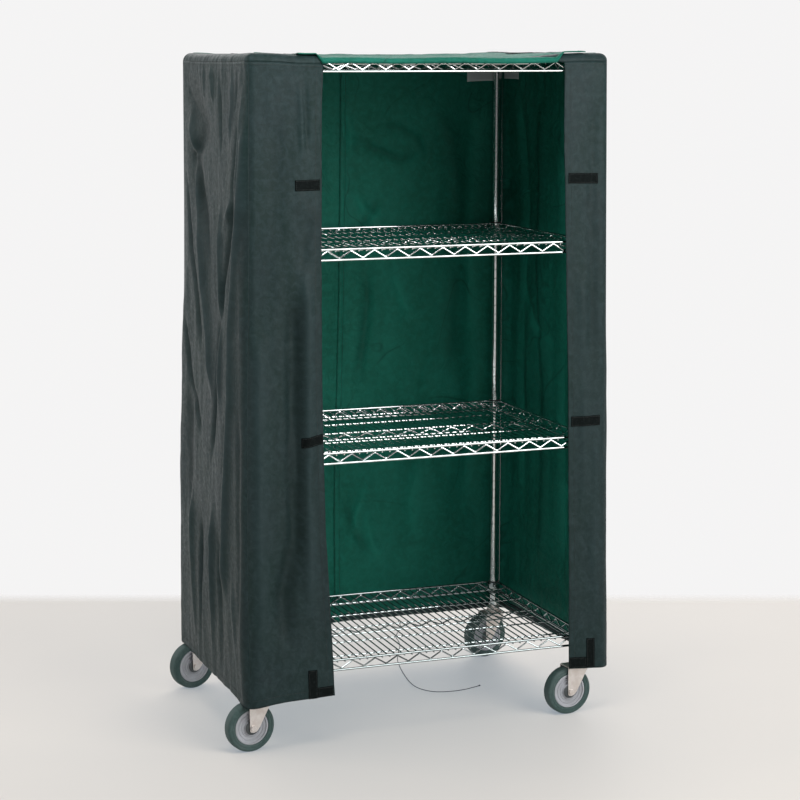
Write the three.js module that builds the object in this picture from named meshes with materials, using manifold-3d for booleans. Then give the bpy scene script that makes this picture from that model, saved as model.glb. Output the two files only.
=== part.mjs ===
// A wire shelving cart on four swivel casters, dressed in a fitted cloth cover whose front panel
// is thrown back over the top. Millimetres, +Z up, the cart's front faces -Y.
import * as THREE from "three";
import { mergeVertices } from "three/addons/utils/BufferGeometryUtils.js";
import Module from "manifold-3d";

const wasm = await Module();
wasm.setup();

// Driving dimensions.
const GAP = 0.3; // clearance between neighbouring pieces
const SHELF_WIDTH = 914.4;
const SHELF_DEPTH = 609.6;
const SHELF_LEVELS = { bottom: 214.2, lower: 747.6, upper: 1255.6, top: 1712.8 }; // top rim wire's axis
const RIM_WIRE = 6; // rim wire thickness
const RIM_DROP = 26.1; // from the top rim wire's axis to the bottom rim wire's
const DECK_WIRE = 3.6;
const DECK_PITCH = 60.45; // one modelled deck wire stands for three close ones
const TRUSS_PITCH = 60.45; // from peak to peak of the zigzag wire
const TRUSS_PHASE = -14.4; // one peak's place, from the shelf's middle
const TRUSS_WIRE = 4;
const POST_INSET = 19; // from the shelf's edge to the post's axis
const POST_RADIUS = 12.7;
const POST_WALL = 1.5;
const POST_BOTTOM = 150;
const POST_TOP = 1725;
const COLLAR_HEIGHT = 32;
const WHEEL_RADIUS = 63.5;
const TREAD_WIDTH = 32;
const TRAIL = 28.7; // from the swivel axis to the axle
const TRAIL_ANGLE = { front_left: 9, front_right: 5, rear_left: 14, rear_right: 10 }; // degrees at rest
const FORK_PLATE = 128.2; // underside of the fork's top plate
const ROUND = 8; // sides of posts, sleeves and collars
const WHEEL_SIDES = 24;
const CLOTH = 2.4; // cover thickness as modelled
const HEM = 131.5; // the cover's lower edge above the floor
const ROOF = 1729.9; // underside of the cover's roof panel
// The cover's outer corners in plan, looser to the right where it bellies out.
const COVER = {
  front_left: [-461, -312],
  rear_left: [-478, 313],
  rear_right: [476, 313],
  front_right: [504, -312],
};
const DOOR_TOP = [-277, 379]; // the doorway's edges at the roof
const DOOR_BOTTOM = [-254, 396]; // and at the hem
const FRONT_PANEL = { left: -328, right: 429, lip: 1711, tail: 765 };
const TAB_HEIGHT = 26;
const TAB_LEVELS = { upper: 1417, lower: 791 };
const CORD_RADIUS = 1;

const postX = SHELF_WIDTH / 2 - POST_INSET;
const postY = SHELF_DEPTH / 2 - POST_INSET;
const CORNERS = {
  front_left: [-1, -1],
  front_right: [1, -1],
  rear_left: [-1, 1],
  rear_right: [1, 1],
};

const steel = { color: 0xc9cdd0, roughness: 0.25, metalness: 1 };
const zinc = { color: 0xc8bfb9, roughness: 0.4, metalness: 1 };
const darkPlastic = { color: 0x1b1d1f, roughness: 0.5, metalness: 0 };
const greyPlastic = { color: 0xa9aaad, roughness: 0.5, metalness: 0 };
const rubber = { color: 0x33403f, roughness: 0.7, metalness: 0 };
const coatedCloth = { color: 0x33403f, roughness: 0.6, metalness: 0 };
const hookTape = { color: 0x101312, roughness: 0.9, metalness: 0 };
const twine = { color: 0x4a5358, roughness: 0.9, metalness: 0 };

const cart = new THREE.Group();

function part(name, geometry, look, parent = cart) {
  const mesh = new THREE.Mesh(geometry, new THREE.MeshStandardMaterial(look));
  mesh.name = name;
  parent.add(mesh);
  return mesh;
}

function solid(geometry) {
  const plain = geometry.clone();
  plain.deleteAttribute("normal");
  plain.deleteAttribute("uv");
  const merged = mergeVertices(plain, 1e-3);
  return new wasm.Manifold(
    new wasm.Mesh({
      numProp: 3,
      vertProperties: merged.attributes.position.array,
      triVerts: new Uint32Array(merged.index.array),
    }),
  );
}

function geometryOf(manifold) {
  const mesh = manifold.getMesh();
  const geometry = new THREE.BufferGeometry();
  geometry.setAttribute("position", new THREE.BufferAttribute(mesh.vertProperties, 3));
  geometry.setIndex(new THREE.BufferAttribute(mesh.triVerts, 1));
  return geometry;
}

function join(geometries) {
  return geometries.map(solid).reduce((whole, piece) => whole.add(piece));
}

function box(low, high) {
  const size = high.map((value, i) => value - low[i]);
  const middle = high.map((value, i) => (value + low[i]) / 2);
  return new THREE.BoxGeometry(...size).translate(...middle);
}

// A plate from an outline in the X-Z plane, from y = front to y = back.
function uprightPlate(shape, front, back) {
  const plate = new THREE.ExtrudeGeometry(shape, { depth: back - front, bevelEnabled: false });
  return plate.rotateX(Math.PI / 2).translate(0, back, 0);
}

// A plate from an outline in the Y-Z plane, from x = left to x = right.
function sidePlate(shape, left, right) {
  const plate = new THREE.ExtrudeGeometry(shape, { depth: right - left, bevelEnabled: false });
  return plate.rotateX(Math.PI / 2).rotateZ(Math.PI / 2).translate(left, 0, 0);
}

// A plate from an outline in the X-Y plane, from z = low to z = high.
function flatPlate(shape, low, high) {
  const plate = new THREE.ExtrudeGeometry(shape, { depth: high - low, bevelEnabled: false });
  return plate.translate(0, 0, low);
}

function outline(points) {
  return new THREE.Shape(points.map(([x, y]) => new THREE.Vector2(x, y)));
}

// A turned piece about Z; the profile lists [radius, z], and a flat side faces each axis.
function turned(profile, sides) {
  const flat = 1 / Math.cos(Math.PI / sides);
  const points = profile.map(([r, z]) => new THREE.Vector2(r * flat, z));
  return new THREE.LatheGeometry(points, sides).rotateX(Math.PI / 2).rotateZ(Math.PI / sides);
}

// ---- Shelves -------------------------------------------------------------------------------

// A bent bar through [x, z] points, from y = front to y = back, twice halfThick high.
function ribbon(bends, halfThick, front, back) {
  const corners = bends.flatMap(([x, z]) => [
    [x, front, z - halfThick],
    [x, back, z - halfThick],
    [x, back, z + halfThick],
    [x, front, z + halfThick],
  ]);
  const faces = [[0, 3, 2], [0, 2, 1]];
  for (let i = 0; i + 4 < corners.length; i += 4) {
    for (let k = 0; k < 4; k++) {
      const next = (k + 1) % 4;
      faces.push([i + k, i + next, i + 4 + next], [i + k, i + 4 + next, i + 4 + k]);
    }
  }
  const end = corners.length - 4;
  faces.push([end, end + 1, end + 2], [end, end + 2, end + 3]);
  const geometry = new THREE.BufferGeometry();
  geometry.setAttribute("position", new THREE.Float32BufferAttribute(corners.flat(), 3));
  return geometry.setIndex(faces.flat());
}

// Two rim wires along X, one above the other, centred on y.
function rimPair(halfLength, y) {
  const half = RIM_WIRE / 2 - 0.5;
  return [0, -RIM_DROP].map((z) =>
    box([-halfLength, y - half, z - RIM_WIRE / 2], [halfLength, y + half, z + RIM_WIRE / 2]),
  );
}

// The zigzag wire bent up and down between two rim wires, as one flat ribbon.
function zigzag(halfLength, y) {
  const half = TRUSS_PITCH / 2;
  const peak = -RIM_WIRE / 2 + 1;
  const valley = -RIM_DROP + RIM_WIRE / 2 - 1;
  const slope = Math.atan2(peak - valley, half);
  const thick = TRUSS_WIRE / Math.cos(slope) / 2;
  const first = Math.ceil((-halfLength - TRUSS_PHASE) / half);
  const last = Math.ceil((halfLength - TRUSS_PHASE) / half);
  const bends = [];
  for (let i = first; i < last; i++) {
    bends.push([TRUSS_PHASE + i * half, i % 2 === 0 ? peak : valley]);
  }
  return ribbon(bends, thick, y - 1.8, y + 1.8);
}

// Upright struts between two rim wires, for the sides where the zigzag is hidden.
function struts(halfLength, y, count) {
  const pitch = (2 * halfLength) / (count + 1);
  const half = TRUSS_WIRE / 2;
  return Array.from({ length: count }, (_, i) => {
    const x = -halfLength + (i + 1) * pitch;
    return box([x - half, y - half, -RIM_DROP], [x + half, y + half, 0]);
  });
}

// Deck wires front to back, tied along the middle by a stringer from side to side.
function deck() {
  const halfWidth = postX - POST_RADIUS * 2;
  const halfDepth = SHELF_DEPTH / 2 - RIM_WIRE / 2;
  const half = DECK_WIRE / 2;
  const rimX = SHELF_WIDTH / 2 - RIM_WIRE / 2;
  const stringer = box([-rimX, -half, -half], [rimX, half, half]);
  const bays = Math.floor((2 * halfWidth - DECK_WIRE) / DECK_PITCH);
  const wires = Array.from({ length: bays + 1 }, (_, i) => {
    const x = (i - bays / 2) * DECK_PITCH;
    return box([x - half, -halfDepth, -half], [x + half, halfDepth, half]);
  });
  return [stringer, ...wires];
}

const sleeveTop = POST_RADIUS + 2.6;
const sleeveBottom = POST_RADIUS + 3.8;
const COLLAR_WALL = 2.6;

function collar() {
  const top = RIM_WIRE / 2;
  const bottom = top - COLLAR_HEIGHT;
  return turned(
    [
      [sleeveBottom + GAP, bottom],
      [sleeveBottom + GAP + COLLAR_WALL, bottom],
      [sleeveTop + GAP + COLLAR_WALL, top],
      [sleeveTop + GAP, top],
      [sleeveBottom + GAP, bottom],
    ],
    ROUND,
  );
}

function shelf() {
  const rimY = SHELF_DEPTH / 2 - RIM_WIRE / 2;
  const rimX = SHELF_WIDTH / 2 - RIM_WIRE / 2;
  const reachX = postX - 8;
  const reachY = postY - 8;
  const frame = [...deck(), ...rimPair(reachX, -rimY), zigzag(reachX, -rimY)];
  frame.push(...rimPair(reachX, rimY), ...struts(reachX, rimY, 3));
  for (const side of [-1, 1]) {
    const end = [...rimPair(reachY, -side * rimX), ...struts(reachY, -side * rimX, 2)];
    frame.push(...end.map((piece) => piece.rotateZ(Math.PI / 2)));
  }
  let whole = join(frame);
  // Collars are welded to the frame last, and each is cleared where its sleeve sits.
  for (const [sx, sy] of Object.values(CORNERS)) {
    const bore = turned(
      [
        [0, RIM_WIRE / 2 - COLLAR_HEIGHT - 1],
        [sleeveBottom + GAP, RIM_WIRE / 2 - COLLAR_HEIGHT - 1],
        [sleeveBottom + GAP, RIM_WIRE / 2 - COLLAR_HEIGHT],
        [sleeveTop + GAP, RIM_WIRE / 2],
        [sleeveTop + GAP, RIM_WIRE / 2 + 1],
        [0, RIM_WIRE / 2 + 1],
      ],
      ROUND,
    ).translate(sx * postX, sy * postY, 0);
    whole = whole.add(solid(collar().translate(sx * postX, sy * postY, 0))).subtract(solid(bore));
  }
  return geometryOf(whole);
}

// A tapered sleeve of two halves hinged on a thin web, split on one side.
function sleeve() {
  const top = RIM_WIRE / 2 + 3;
  const bottom = RIM_WIRE / 2 - COLLAR_HEIGHT;
  const inner = POST_RADIUS + GAP;
  const ring = turned(
    [
      [inner, bottom],
      [sleeveBottom, bottom],
      [sleeveTop, RIM_WIRE / 2],
      [sleeveTop, top],
      [inner, top],
      [inner, bottom],
    ],
    ROUND,
  );
  const split = box([0, -0.6, bottom - 1], [30, 0.6, top + 1]);
  return geometryOf(solid(ring).subtract(solid(split)));
}

const shelfShape = shelf();
const sleeveShape = sleeve();
for (const [level, z] of Object.entries(SHELF_LEVELS)) {
  part(`shelf_${level}`, shelfShape, steel).position.z = z;
  for (const [corner, [sx, sy]] of Object.entries(CORNERS)) {
    const piece = part(`sleeve_${level}_${corner}`, sleeveShape, darkPlastic);
    piece.position.set(sx * postX, sy * postY, z);
    piece.rotation.z = sx < 0 ? 0 : Math.PI;
  }
}

// ---- Posts and caps ------------------------------------------------------------------------

function post() {
  const bore = POST_RADIUS - POST_WALL;
  return turned(
    [
      [bore, POST_BOTTOM],
      [POST_RADIUS, POST_BOTTOM],
      [POST_RADIUS, POST_TOP],
      [bore, POST_TOP],
      [bore, POST_BOTTOM],
    ],
    ROUND,
  );
}

function cap() {
  const plug = POST_RADIUS - POST_WALL - GAP;
  return turned(
    [
      [0, POST_TOP - 12],
      [plug, POST_TOP - 12],
      [plug, POST_TOP + GAP],
      [POST_RADIUS, POST_TOP + GAP],
      [POST_RADIUS - 1.5, POST_TOP + 3],
      [0, POST_TOP + 4.2],
    ],
    ROUND,
  );
}

// ---- Casters -------------------------------------------------------------------------------

const FORK_HALF = TREAD_WIDTH / 2 + 6.5; // outer face of a fork leg
const LEG = 2.6;
const AXLE = 4;
const raceTop = FORK_PLATE + 9;

function stem() {
  const plug = POST_RADIUS - POST_WALL - GAP;
  return turned(
    [
      [0, raceTop + GAP],
      [18, raceTop + GAP],
      [18, raceTop + 5],
      [14, POST_BOTTOM - GAP],
      [plug, POST_BOTTOM - GAP],
      [plug, POST_BOTTOM + 70],
      [0, POST_BOTTOM + 70],
    ],
    ROUND,
  );
}

// One leg in the wheel's plane: upright behind the axle, slanting forward up to the plate.
function leg(front, back) {
  const shape = outline([
    [-TRAIL - 9, FORK_PLATE + LEG],
    [-TRAIL - 8, WHEEL_RADIUS - 8],
    [-TRAIL - 3, WHEEL_RADIUS - 12],
    [-TRAIL + 7, WHEEL_RADIUS - 12],
    [-TRAIL + 16, WHEEL_RADIUS - 4],
    [-TRAIL + 50, FORK_PLATE - 8],
    [-TRAIL + 53, FORK_PLATE + LEG],
  ]);
  return uprightPlate(shape, front, back);
}

function fork() {
  const hole = turned(
    [
      [0, -FORK_HALF - 5],
      [AXLE + GAP, -FORK_HALF - 5],
      [AXLE + GAP, FORK_HALF + 5],
      [0, FORK_HALF + 5],
    ],
    ROUND,
  );
  hole.rotateX(Math.PI / 2).translate(-TRAIL, 0, WHEEL_RADIUS);
  const race = turned(
    [
      [0, FORK_PLATE + 1],
      [19, FORK_PLATE + 1],
      [19, raceTop - 2],
      [16, raceTop],
      [0, raceTop],
    ],
    ROUND,
  );
  const plate = box([-TRAIL - 9, -FORK_HALF, FORK_PLATE], [-TRAIL + 53, FORK_HALF, FORK_PLATE + LEG]);
  const legs = [leg(-FORK_HALF, -FORK_HALF + LEG), leg(FORK_HALF - LEG, FORK_HALF)];
  return geometryOf(join([...legs, plate, race]).subtract(solid(hole)));
}

function axleBolt() {
  const head = FORK_HALF + GAP;
  const bolt = turned(
    [
      [0, -head - 4],
      [7, -head - 4],
      [7, -head],
      [AXLE, -head],
      [AXLE, head],
      [7, head],
      [7, head + 5],
      [0, head + 5],
    ],
    ROUND,
  );
  return bolt.rotateX(Math.PI / 2);
}

function wheelCore() {
  const half = TREAD_WIDTH / 2;
  const rim = WHEEL_RADIUS - 19.5;
  const hub = half + 1;
  return turned(
    [
      [AXLE + GAP, -hub],
      [19, -hub],
      [20, -half + 5],
      [rim - GAP, -half + 2],
      [rim - GAP, half - 2],
      [20, half - 5],
      [19, hub],
      [AXLE + GAP, hub],
      [AXLE + GAP, -hub],
    ],
    WHEEL_SIDES,
  ).rotateX(Math.PI / 2);
}

function tyre() {
  const half = TREAD_WIDTH / 2;
  const inner = WHEEL_RADIUS - 19.5;
  return turned(
    [
      [inner, -half + 1],
      [WHEEL_RADIUS - 8, -half],
      [WHEEL_RADIUS, -half + 8],
      [WHEEL_RADIUS, half - 8],
      [WHEEL_RADIUS - 8, half],
      [inner, half - 1],
      [inner, -half + 1],
    ],
    WHEEL_SIDES,
  ).rotateX(Math.PI / 2);
}

const casterShapes = { stem: stem(), fork: fork(), axle: axleBolt(), core: wheelCore(), tyre: tyre() };
for (const [corner, [sx, sy]] of Object.entries(CORNERS)) {
  const upright = new THREE.Group();
  upright.position.set(sx * postX, sy * postY, 0);
  cart.add(upright);
  part(`post_${corner}`, post(), steel, upright);
  part(`post_cap_${corner}`, cap(), darkPlastic, upright);
  part(`caster_stem_${corner}`, casterShapes.stem, zinc, upright);
  const swivel = new THREE.Group();
  swivel.rotation.z = THREE.MathUtils.degToRad(TRAIL_ANGLE[corner]);
  upright.add(swivel);
  part(`caster_fork_${corner}`, casterShapes.fork, zinc, swivel);
  const wheel = new THREE.Group();
  wheel.position.set(-TRAIL, 0, WHEEL_RADIUS);
  swivel.add(wheel);
  part(`axle_bolt_${corner}`, casterShapes.axle, zinc, wheel);
  part(`wheel_core_${corner}`, casterShapes.core, greyPlastic, wheel);
  part(`tyre_${corner}`, casterShapes.tyre, rubber, wheel);
}

// ---- Cover ---------------------------------------------------------------------------------

// An upright cloth panel from its outside edge between two plan points, hanging from z = top to the hem.
function wall(from, to, inward, top) {
  const [ax, ay] = from;
  const [bx, by] = to;
  const shape = outline([
    [ax, ay],
    [bx, by],
    [bx + inward[0], by + inward[1]],
    [ax + inward[0], ay + inward[1]],
  ]);
  return flatPlate(shape, HEM, top);
}

const wallTop = ROOF - GAP;
const clear = CLOTH + GAP;
const sideFront = COVER.front_left[1] + clear;
const sideBack = COVER.rear_left[1] - clear;
part(
  "cover_left_side",
  wall([COVER.front_left[0], sideFront], [COVER.rear_left[0], sideBack], [CLOTH, 0], wallTop),
  coatedCloth,
);
part(
  "cover_right_side",
  wall([COVER.rear_right[0], sideBack], [COVER.front_right[0], sideFront], [-CLOTH, 0], wallTop),
  coatedCloth,
);
part("cover_back", wall(COVER.rear_right, COVER.rear_left, [0, -CLOTH], wallTop), coatedCloth);

function flap(outer, top, bottom) {
  return uprightPlate(
    outline([[outer, HEM], [bottom, HEM], [top, wallTop], [outer, wallTop]]),
    COVER.front_left[1],
    COVER.front_left[1] + CLOTH,
  );
}
part("cover_left_flap", flap(COVER.front_left[0], DOOR_TOP[0], DOOR_BOTTOM[0]), coatedCloth);
part("cover_right_flap", flap(COVER.front_right[0], DOOR_TOP[1], DOOR_BOTTOM[1]), coatedCloth);

const roofPlan = outline([COVER.front_left, COVER.front_right, COVER.rear_right, COVER.rear_left]);
part("cover_roof", flatPlate(roofPlan, ROOF, ROOF + CLOTH), coatedCloth);

// The long front panel: a lip down over the doorway's head, across the roof and down the back.
function frontPanel() {
  const front = COVER.front_left[1] - GAP;
  const back = COVER.rear_left[1] + GAP;
  const under = ROOF + CLOTH + GAP;
  const shape = outline([
    [front - CLOTH, FRONT_PANEL.lip],
    [front, FRONT_PANEL.lip],
    [front, under],
    [back, under],
    [back, FRONT_PANEL.tail],
    [back + CLOTH, FRONT_PANEL.tail],
    [back + CLOTH, under + CLOTH],
    [front - CLOTH, under + CLOTH],
  ]);
  return sidePlate(shape, FRONT_PANEL.left, FRONT_PANEL.right);
}
part("cover_front_panel", frontPanel(), coatedCloth);

// Hook-tape tabs that hold the front panel shut, two on each flap.
const tabFront = COVER.front_left[1] - GAP - 1.5;
const TABS = { left: [-343, -281], right: [399, 482] };
for (const [side, [left, right]] of Object.entries(TABS)) {
  for (const [level, z] of Object.entries(TAB_LEVELS)) {
    const low = [left, tabFront, z - TAB_HEIGHT / 2];
    const high = [right, tabFront + 1.5, z + TAB_HEIGHT / 2];
    part(`hook_tab_${side}_${level}`, box(low, high), hookTape);
  }
}

// The hem's drawcord: out of the back hem, down to the floor and forward under the cart.
const CORD_ROUTE = [
  [150, 306, 127],
  [155, 306, 114],
  [160, 306, 101],
  [150, 306, 88],
  [145, 306, 74],
  [153, 306, 60],
  [156, 305, 44],
  [150, 303, 26],
  [146, 297, 10],
  [144, 285, 2.4],
  [142, 272, 1.6],
  [135, 245, 1.6],
  [127, 205, 1.6],
  [119, 158, 1.6],
  [113, 115, 1.6],
  [111, 77, 1.6],
  [115, 45, 1.6],
  [127, 18, 1.6],
  [146, -2, 1.6],
  [170, -11, 1.6],
  [200, -14, 1.6],
  [232, -10, 1.6],
  [258, -1, 1.6],
  [282, 8, 1.6],
];
function cord() {
  const curve = new THREE.CatmullRomCurve3(CORD_ROUTE.map((p) => new THREE.Vector3(...p)));
  const section = new THREE.Shape();
  for (let i = 0; i < ROUND; i++) {
    const turn = (i * 2 * Math.PI) / ROUND;
    const point = [CORD_RADIUS * Math.cos(turn), CORD_RADIUS * Math.sin(turn)];
    if (i === 0) section.moveTo(...point);
    else section.lineTo(...point);
  }
  return new THREE.ExtrudeGeometry(section, { steps: 76, extrudePath: curve, bevelEnabled: false });
}
part("hem_cord", cord(), twine);

// The frame's origin: the middle of the standing cart's box, on the floor.
const standing = new THREE.Box3();
for (const piece of cart.children) {
  if (piece.name !== "hem_cord") standing.expandByObject(piece, true);
}
const rack = new THREE.Group();
rack.add(cart);
cart.position.set(-(standing.min.x + standing.max.x) / 2, -(standing.min.y + standing.max.y) / 2, 0);

export default rack;
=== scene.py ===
"""A wire shelving cart on four swivel casters, in a fitted cloth cover with its front panel thrown back.

Everything is in metres. Shapes are described from the middle of the shelves, and MIDDLE moves them
into the frame.
"""

import math
from collections import namedtuple

import bpy
import numpy as np
from mathutils import Matrix, Vector, noise


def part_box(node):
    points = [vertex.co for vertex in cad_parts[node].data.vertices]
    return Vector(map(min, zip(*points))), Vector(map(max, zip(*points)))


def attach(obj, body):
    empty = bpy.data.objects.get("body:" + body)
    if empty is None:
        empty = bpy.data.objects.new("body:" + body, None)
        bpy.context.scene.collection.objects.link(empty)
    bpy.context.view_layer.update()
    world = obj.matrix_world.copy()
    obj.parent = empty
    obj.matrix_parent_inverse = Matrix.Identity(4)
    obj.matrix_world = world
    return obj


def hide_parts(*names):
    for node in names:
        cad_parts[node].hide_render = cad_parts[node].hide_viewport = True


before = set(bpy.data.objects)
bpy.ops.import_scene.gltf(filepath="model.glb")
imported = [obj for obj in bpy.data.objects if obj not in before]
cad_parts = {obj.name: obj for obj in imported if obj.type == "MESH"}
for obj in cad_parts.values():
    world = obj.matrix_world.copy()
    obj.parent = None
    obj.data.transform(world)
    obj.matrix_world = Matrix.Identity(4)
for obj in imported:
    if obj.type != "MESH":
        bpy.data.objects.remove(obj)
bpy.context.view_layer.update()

# ---- Driving dimensions --------------------------------------------------------------------

shelf_low, shelf_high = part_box("shelf_lower")
MIDDLE = Vector(((shelf_low.x + shelf_high.x) / 2, (shelf_low.y + shelf_high.y) / 2, 0))
SHELF_WIDTH = 0.9144
SHELF_DEPTH = 0.6096
SHELF_LEVELS = {"bottom": 0.2142, "lower": 0.7476, "upper": 1.2556, "top": 1.7128}  # top rim wire's axis
RIM_RADIUS = 0.003
RIM_DROP = 0.0261  # from the top rim wire's axis to the bottom one's
RIM_X = SHELF_WIDTH / 2 - RIM_RADIUS
RIM_Y = SHELF_DEPTH / 2 - RIM_RADIUS
DECK_RADIUS = 0.0018
DECK_DROP = RIM_RADIUS + DECK_RADIUS
STRINGER_RADIUS = 0.002
STRINGER_DROP = DECK_DROP + DECK_RADIUS + STRINGER_RADIUS
STRINGERS = (-0.243, -0.124, 0.124, 0.245)  # the long wires under the deck, from front to back
TRUSS_RADIUS = 0.002
TRUSS_PITCH = 0.06045
TRUSS_PHASES = {"front": -0.0144, "centre": 0.0106, "back": 0.036}
DECK_PITCH = TRUSS_PITCH / 3
POST_INSET = 0.019
POST_X = SHELF_WIDTH / 2 - POST_INSET
POST_Y = SHELF_DEPTH / 2 - POST_INSET
POST_RADIUS = 0.0127
POST_BOTTOM = 0.150
POST_TOP = 1.725
GROOVE_PITCH = 0.0254
CORNERS = {"front_left": (-1, -1), "front_right": (1, -1), "rear_left": (-1, 1), "rear_right": (1, 1)}
WHEEL_RADIUS = 0.0635
TREAD_HALF = 0.016
TRAIL = 0.0287  # from the swivel axis to the axle
TRAIL_ANGLE = {"front_left": 9, "front_right": 5, "rear_left": 14, "rear_right": 10}  # degrees at rest
AXLE_TURN = Matrix.Rotation(math.radians(-90), 4, "X")  # lays an upright profile's axis along the axle
FORK_PLATE = 0.1282  # underside of the fork's top plate
FORK_HALF = TREAD_HALF + 0.0065  # from the wheel's middle to the outside of a fork leg
LEG = 0.0026  # thickness of the fork's pressed plate
RACE_TOP = FORK_PLATE + 0.009  # top of the swivel's ball race
HEM = 0.1315  # height of the cover's lower edge
CLOTH = 0.0012  # thickness of the cover's cloth
CORD_RADIUS = 0.001


# ---- Geometry helpers ----------------------------------------------------------------------


class Shape:
    """Points and faces gathered for one piece."""

    def __init__(self):
        self.points = []
        self.faces = []

    def add(self, points, faces):
        start = len(self.points)
        self.points.extend(tuple(p) for p in points)
        self.faces.extend([start + i for i in face] for face in faces)


def tube(shape, path, radius, sides=8, closed=False):
    """A round bar along a path, with flat ends unless it is a closed loop."""
    path = [Vector(p) for p in path]
    count = len(path)
    normal = None
    points = []
    for i, here in enumerate(path):
        before = path[i - 1] if closed or i > 0 else here
        after = path[(i + 1) % count] if closed or i < count - 1 else here
        along = (after - before).normalized()
        if normal is None:
            normal = along.orthogonal()
        normal = (normal - along * normal.dot(along)).normalized()
        side = along.cross(normal)
        for k in range(sides):
            turn = 2 * math.pi * k / sides
            points.append(here + (normal * math.cos(turn) + side * math.sin(turn)) * radius)
    rings = count if closed else count - 1
    faces = []
    for i in range(rings):
        low, high = i * sides, (i + 1) % count * sides
        for k in range(sides):
            after = (k + 1) % sides
            faces.append([low + k, low + after, high + after, high + k])
    if not closed:
        faces.append(list(reversed(range(sides))))
        faces.append([(count - 1) * sides + k for k in range(sides)])
    shape.add(points, faces)


def rounded(corners, radius, steps=4):
    """The path through these corners with each inner one rounded off."""
    corners = [Vector(c) for c in corners]
    path = [corners[0]]
    for before, here, after in zip(corners, corners[1:], corners[2:]):
        back, on = (before - here).normalized(), (after - here).normalized()
        half = back.angle(on) / 2
        reach = min(radius / math.tan(half), (before - here).length * 0.45, (after - here).length * 0.45)
        for i in range(steps + 1):
            t = i / steps
            a, b = here + back * reach, here + on * reach
            path.append(a.lerp(here, t).lerp(here.lerp(b, t), t))
    path.append(corners[-1])
    return path


def turned(shape, profile, sides, place, closed=False):
    """A (radius, height) profile turned about Z. A radius of 0 closes the end on the axis."""
    rings, points = [], []
    for radius, height in profile:
        if radius == 0:
            rings.append([len(points)])
            points.append(place @ Vector((0, 0, height)))
            continue
        rings.append(list(range(len(points), len(points) + sides)))
        for k in range(sides):
            turn = 2 * math.pi * k / sides
            points.append(place @ Vector((radius * math.cos(turn), radius * math.sin(turn), height)))
    faces = []
    pairs = list(zip(rings, rings[1:])) + ([(rings[-1], rings[0])] if closed else [])
    for low, high in pairs:
        for k in range(sides):
            after = (k + 1) % sides
            if len(low) == 1:
                faces.append([low[0], high[after], high[k]])
            elif len(high) == 1:
                faces.append([low[k], low[after], high[0]])
            else:
                faces.append([low[k], low[after], high[after], high[k]])
    shape.add(points, faces)


def slab(shape, outline, low, high, place):
    """A plate from an X-Z outline given anticlockwise as seen from -Y, from y = low to y = high."""
    count = len(outline)
    points = [place @ Vector((x, y, z)) for y in (low, high) for x, z in outline]
    faces = [list(range(count)), [count + i for i in reversed(range(count))]]
    for i in range(count):
        after = (i + 1) % count
        faces.append([after, i, count + i, count + after])
    shape.add(points, faces)


def smooth_outline(corners, radius, steps=5):
    """A closed X-Z outline with its corners rounded."""
    looped = [Vector((x, 0, z)) for x, z in corners]
    middle = (looped[-1] + looped[0]) / 2
    path = rounded([middle, *looped, middle], radius, steps)[:-1]
    return [(p.x, p.z) for p in path]


def add_piece(name, points, faces, materials, body, slot, nodes):
    """A smooth-shaded piece that rides on a CAD body and stands for CAD nodes."""
    mesh = bpy.data.meshes.new(name)
    mesh.from_pydata(points, [], faces)
    for material in materials:
        mesh.materials.append(material)
    mesh.polygons.foreach_set("use_smooth", [True] * len(mesh.polygons))
    piece = bpy.data.objects.new(name, mesh)
    bpy.context.scene.collection.objects.link(piece)
    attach(piece, body)
    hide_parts(*nodes)
    return piece


def make(name, shape, material, body, slot, nodes=(), sharp=35):
    """Turns a Shape into a piece, creased where its faces meet at more than this many degrees."""
    points = [Vector(p) + MIDDLE for p in shape.points]
    piece = add_piece(name, points, shape.faces, [material], body, slot, nodes)
    piece.data.set_sharp_from_angle(angle=math.radians(sharp))
    return piece


def soften(piece, width):
    """Rounds a piece's hard edges."""
    bevel = piece.modifiers.new("edges", "BEVEL")
    bevel.width = width
    bevel.segments = 2
    bevel.limit_method = "ANGLE"
    bevel.angle_limit = math.radians(40)


# ---- Materials -----------------------------------------------------------------------------


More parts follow.
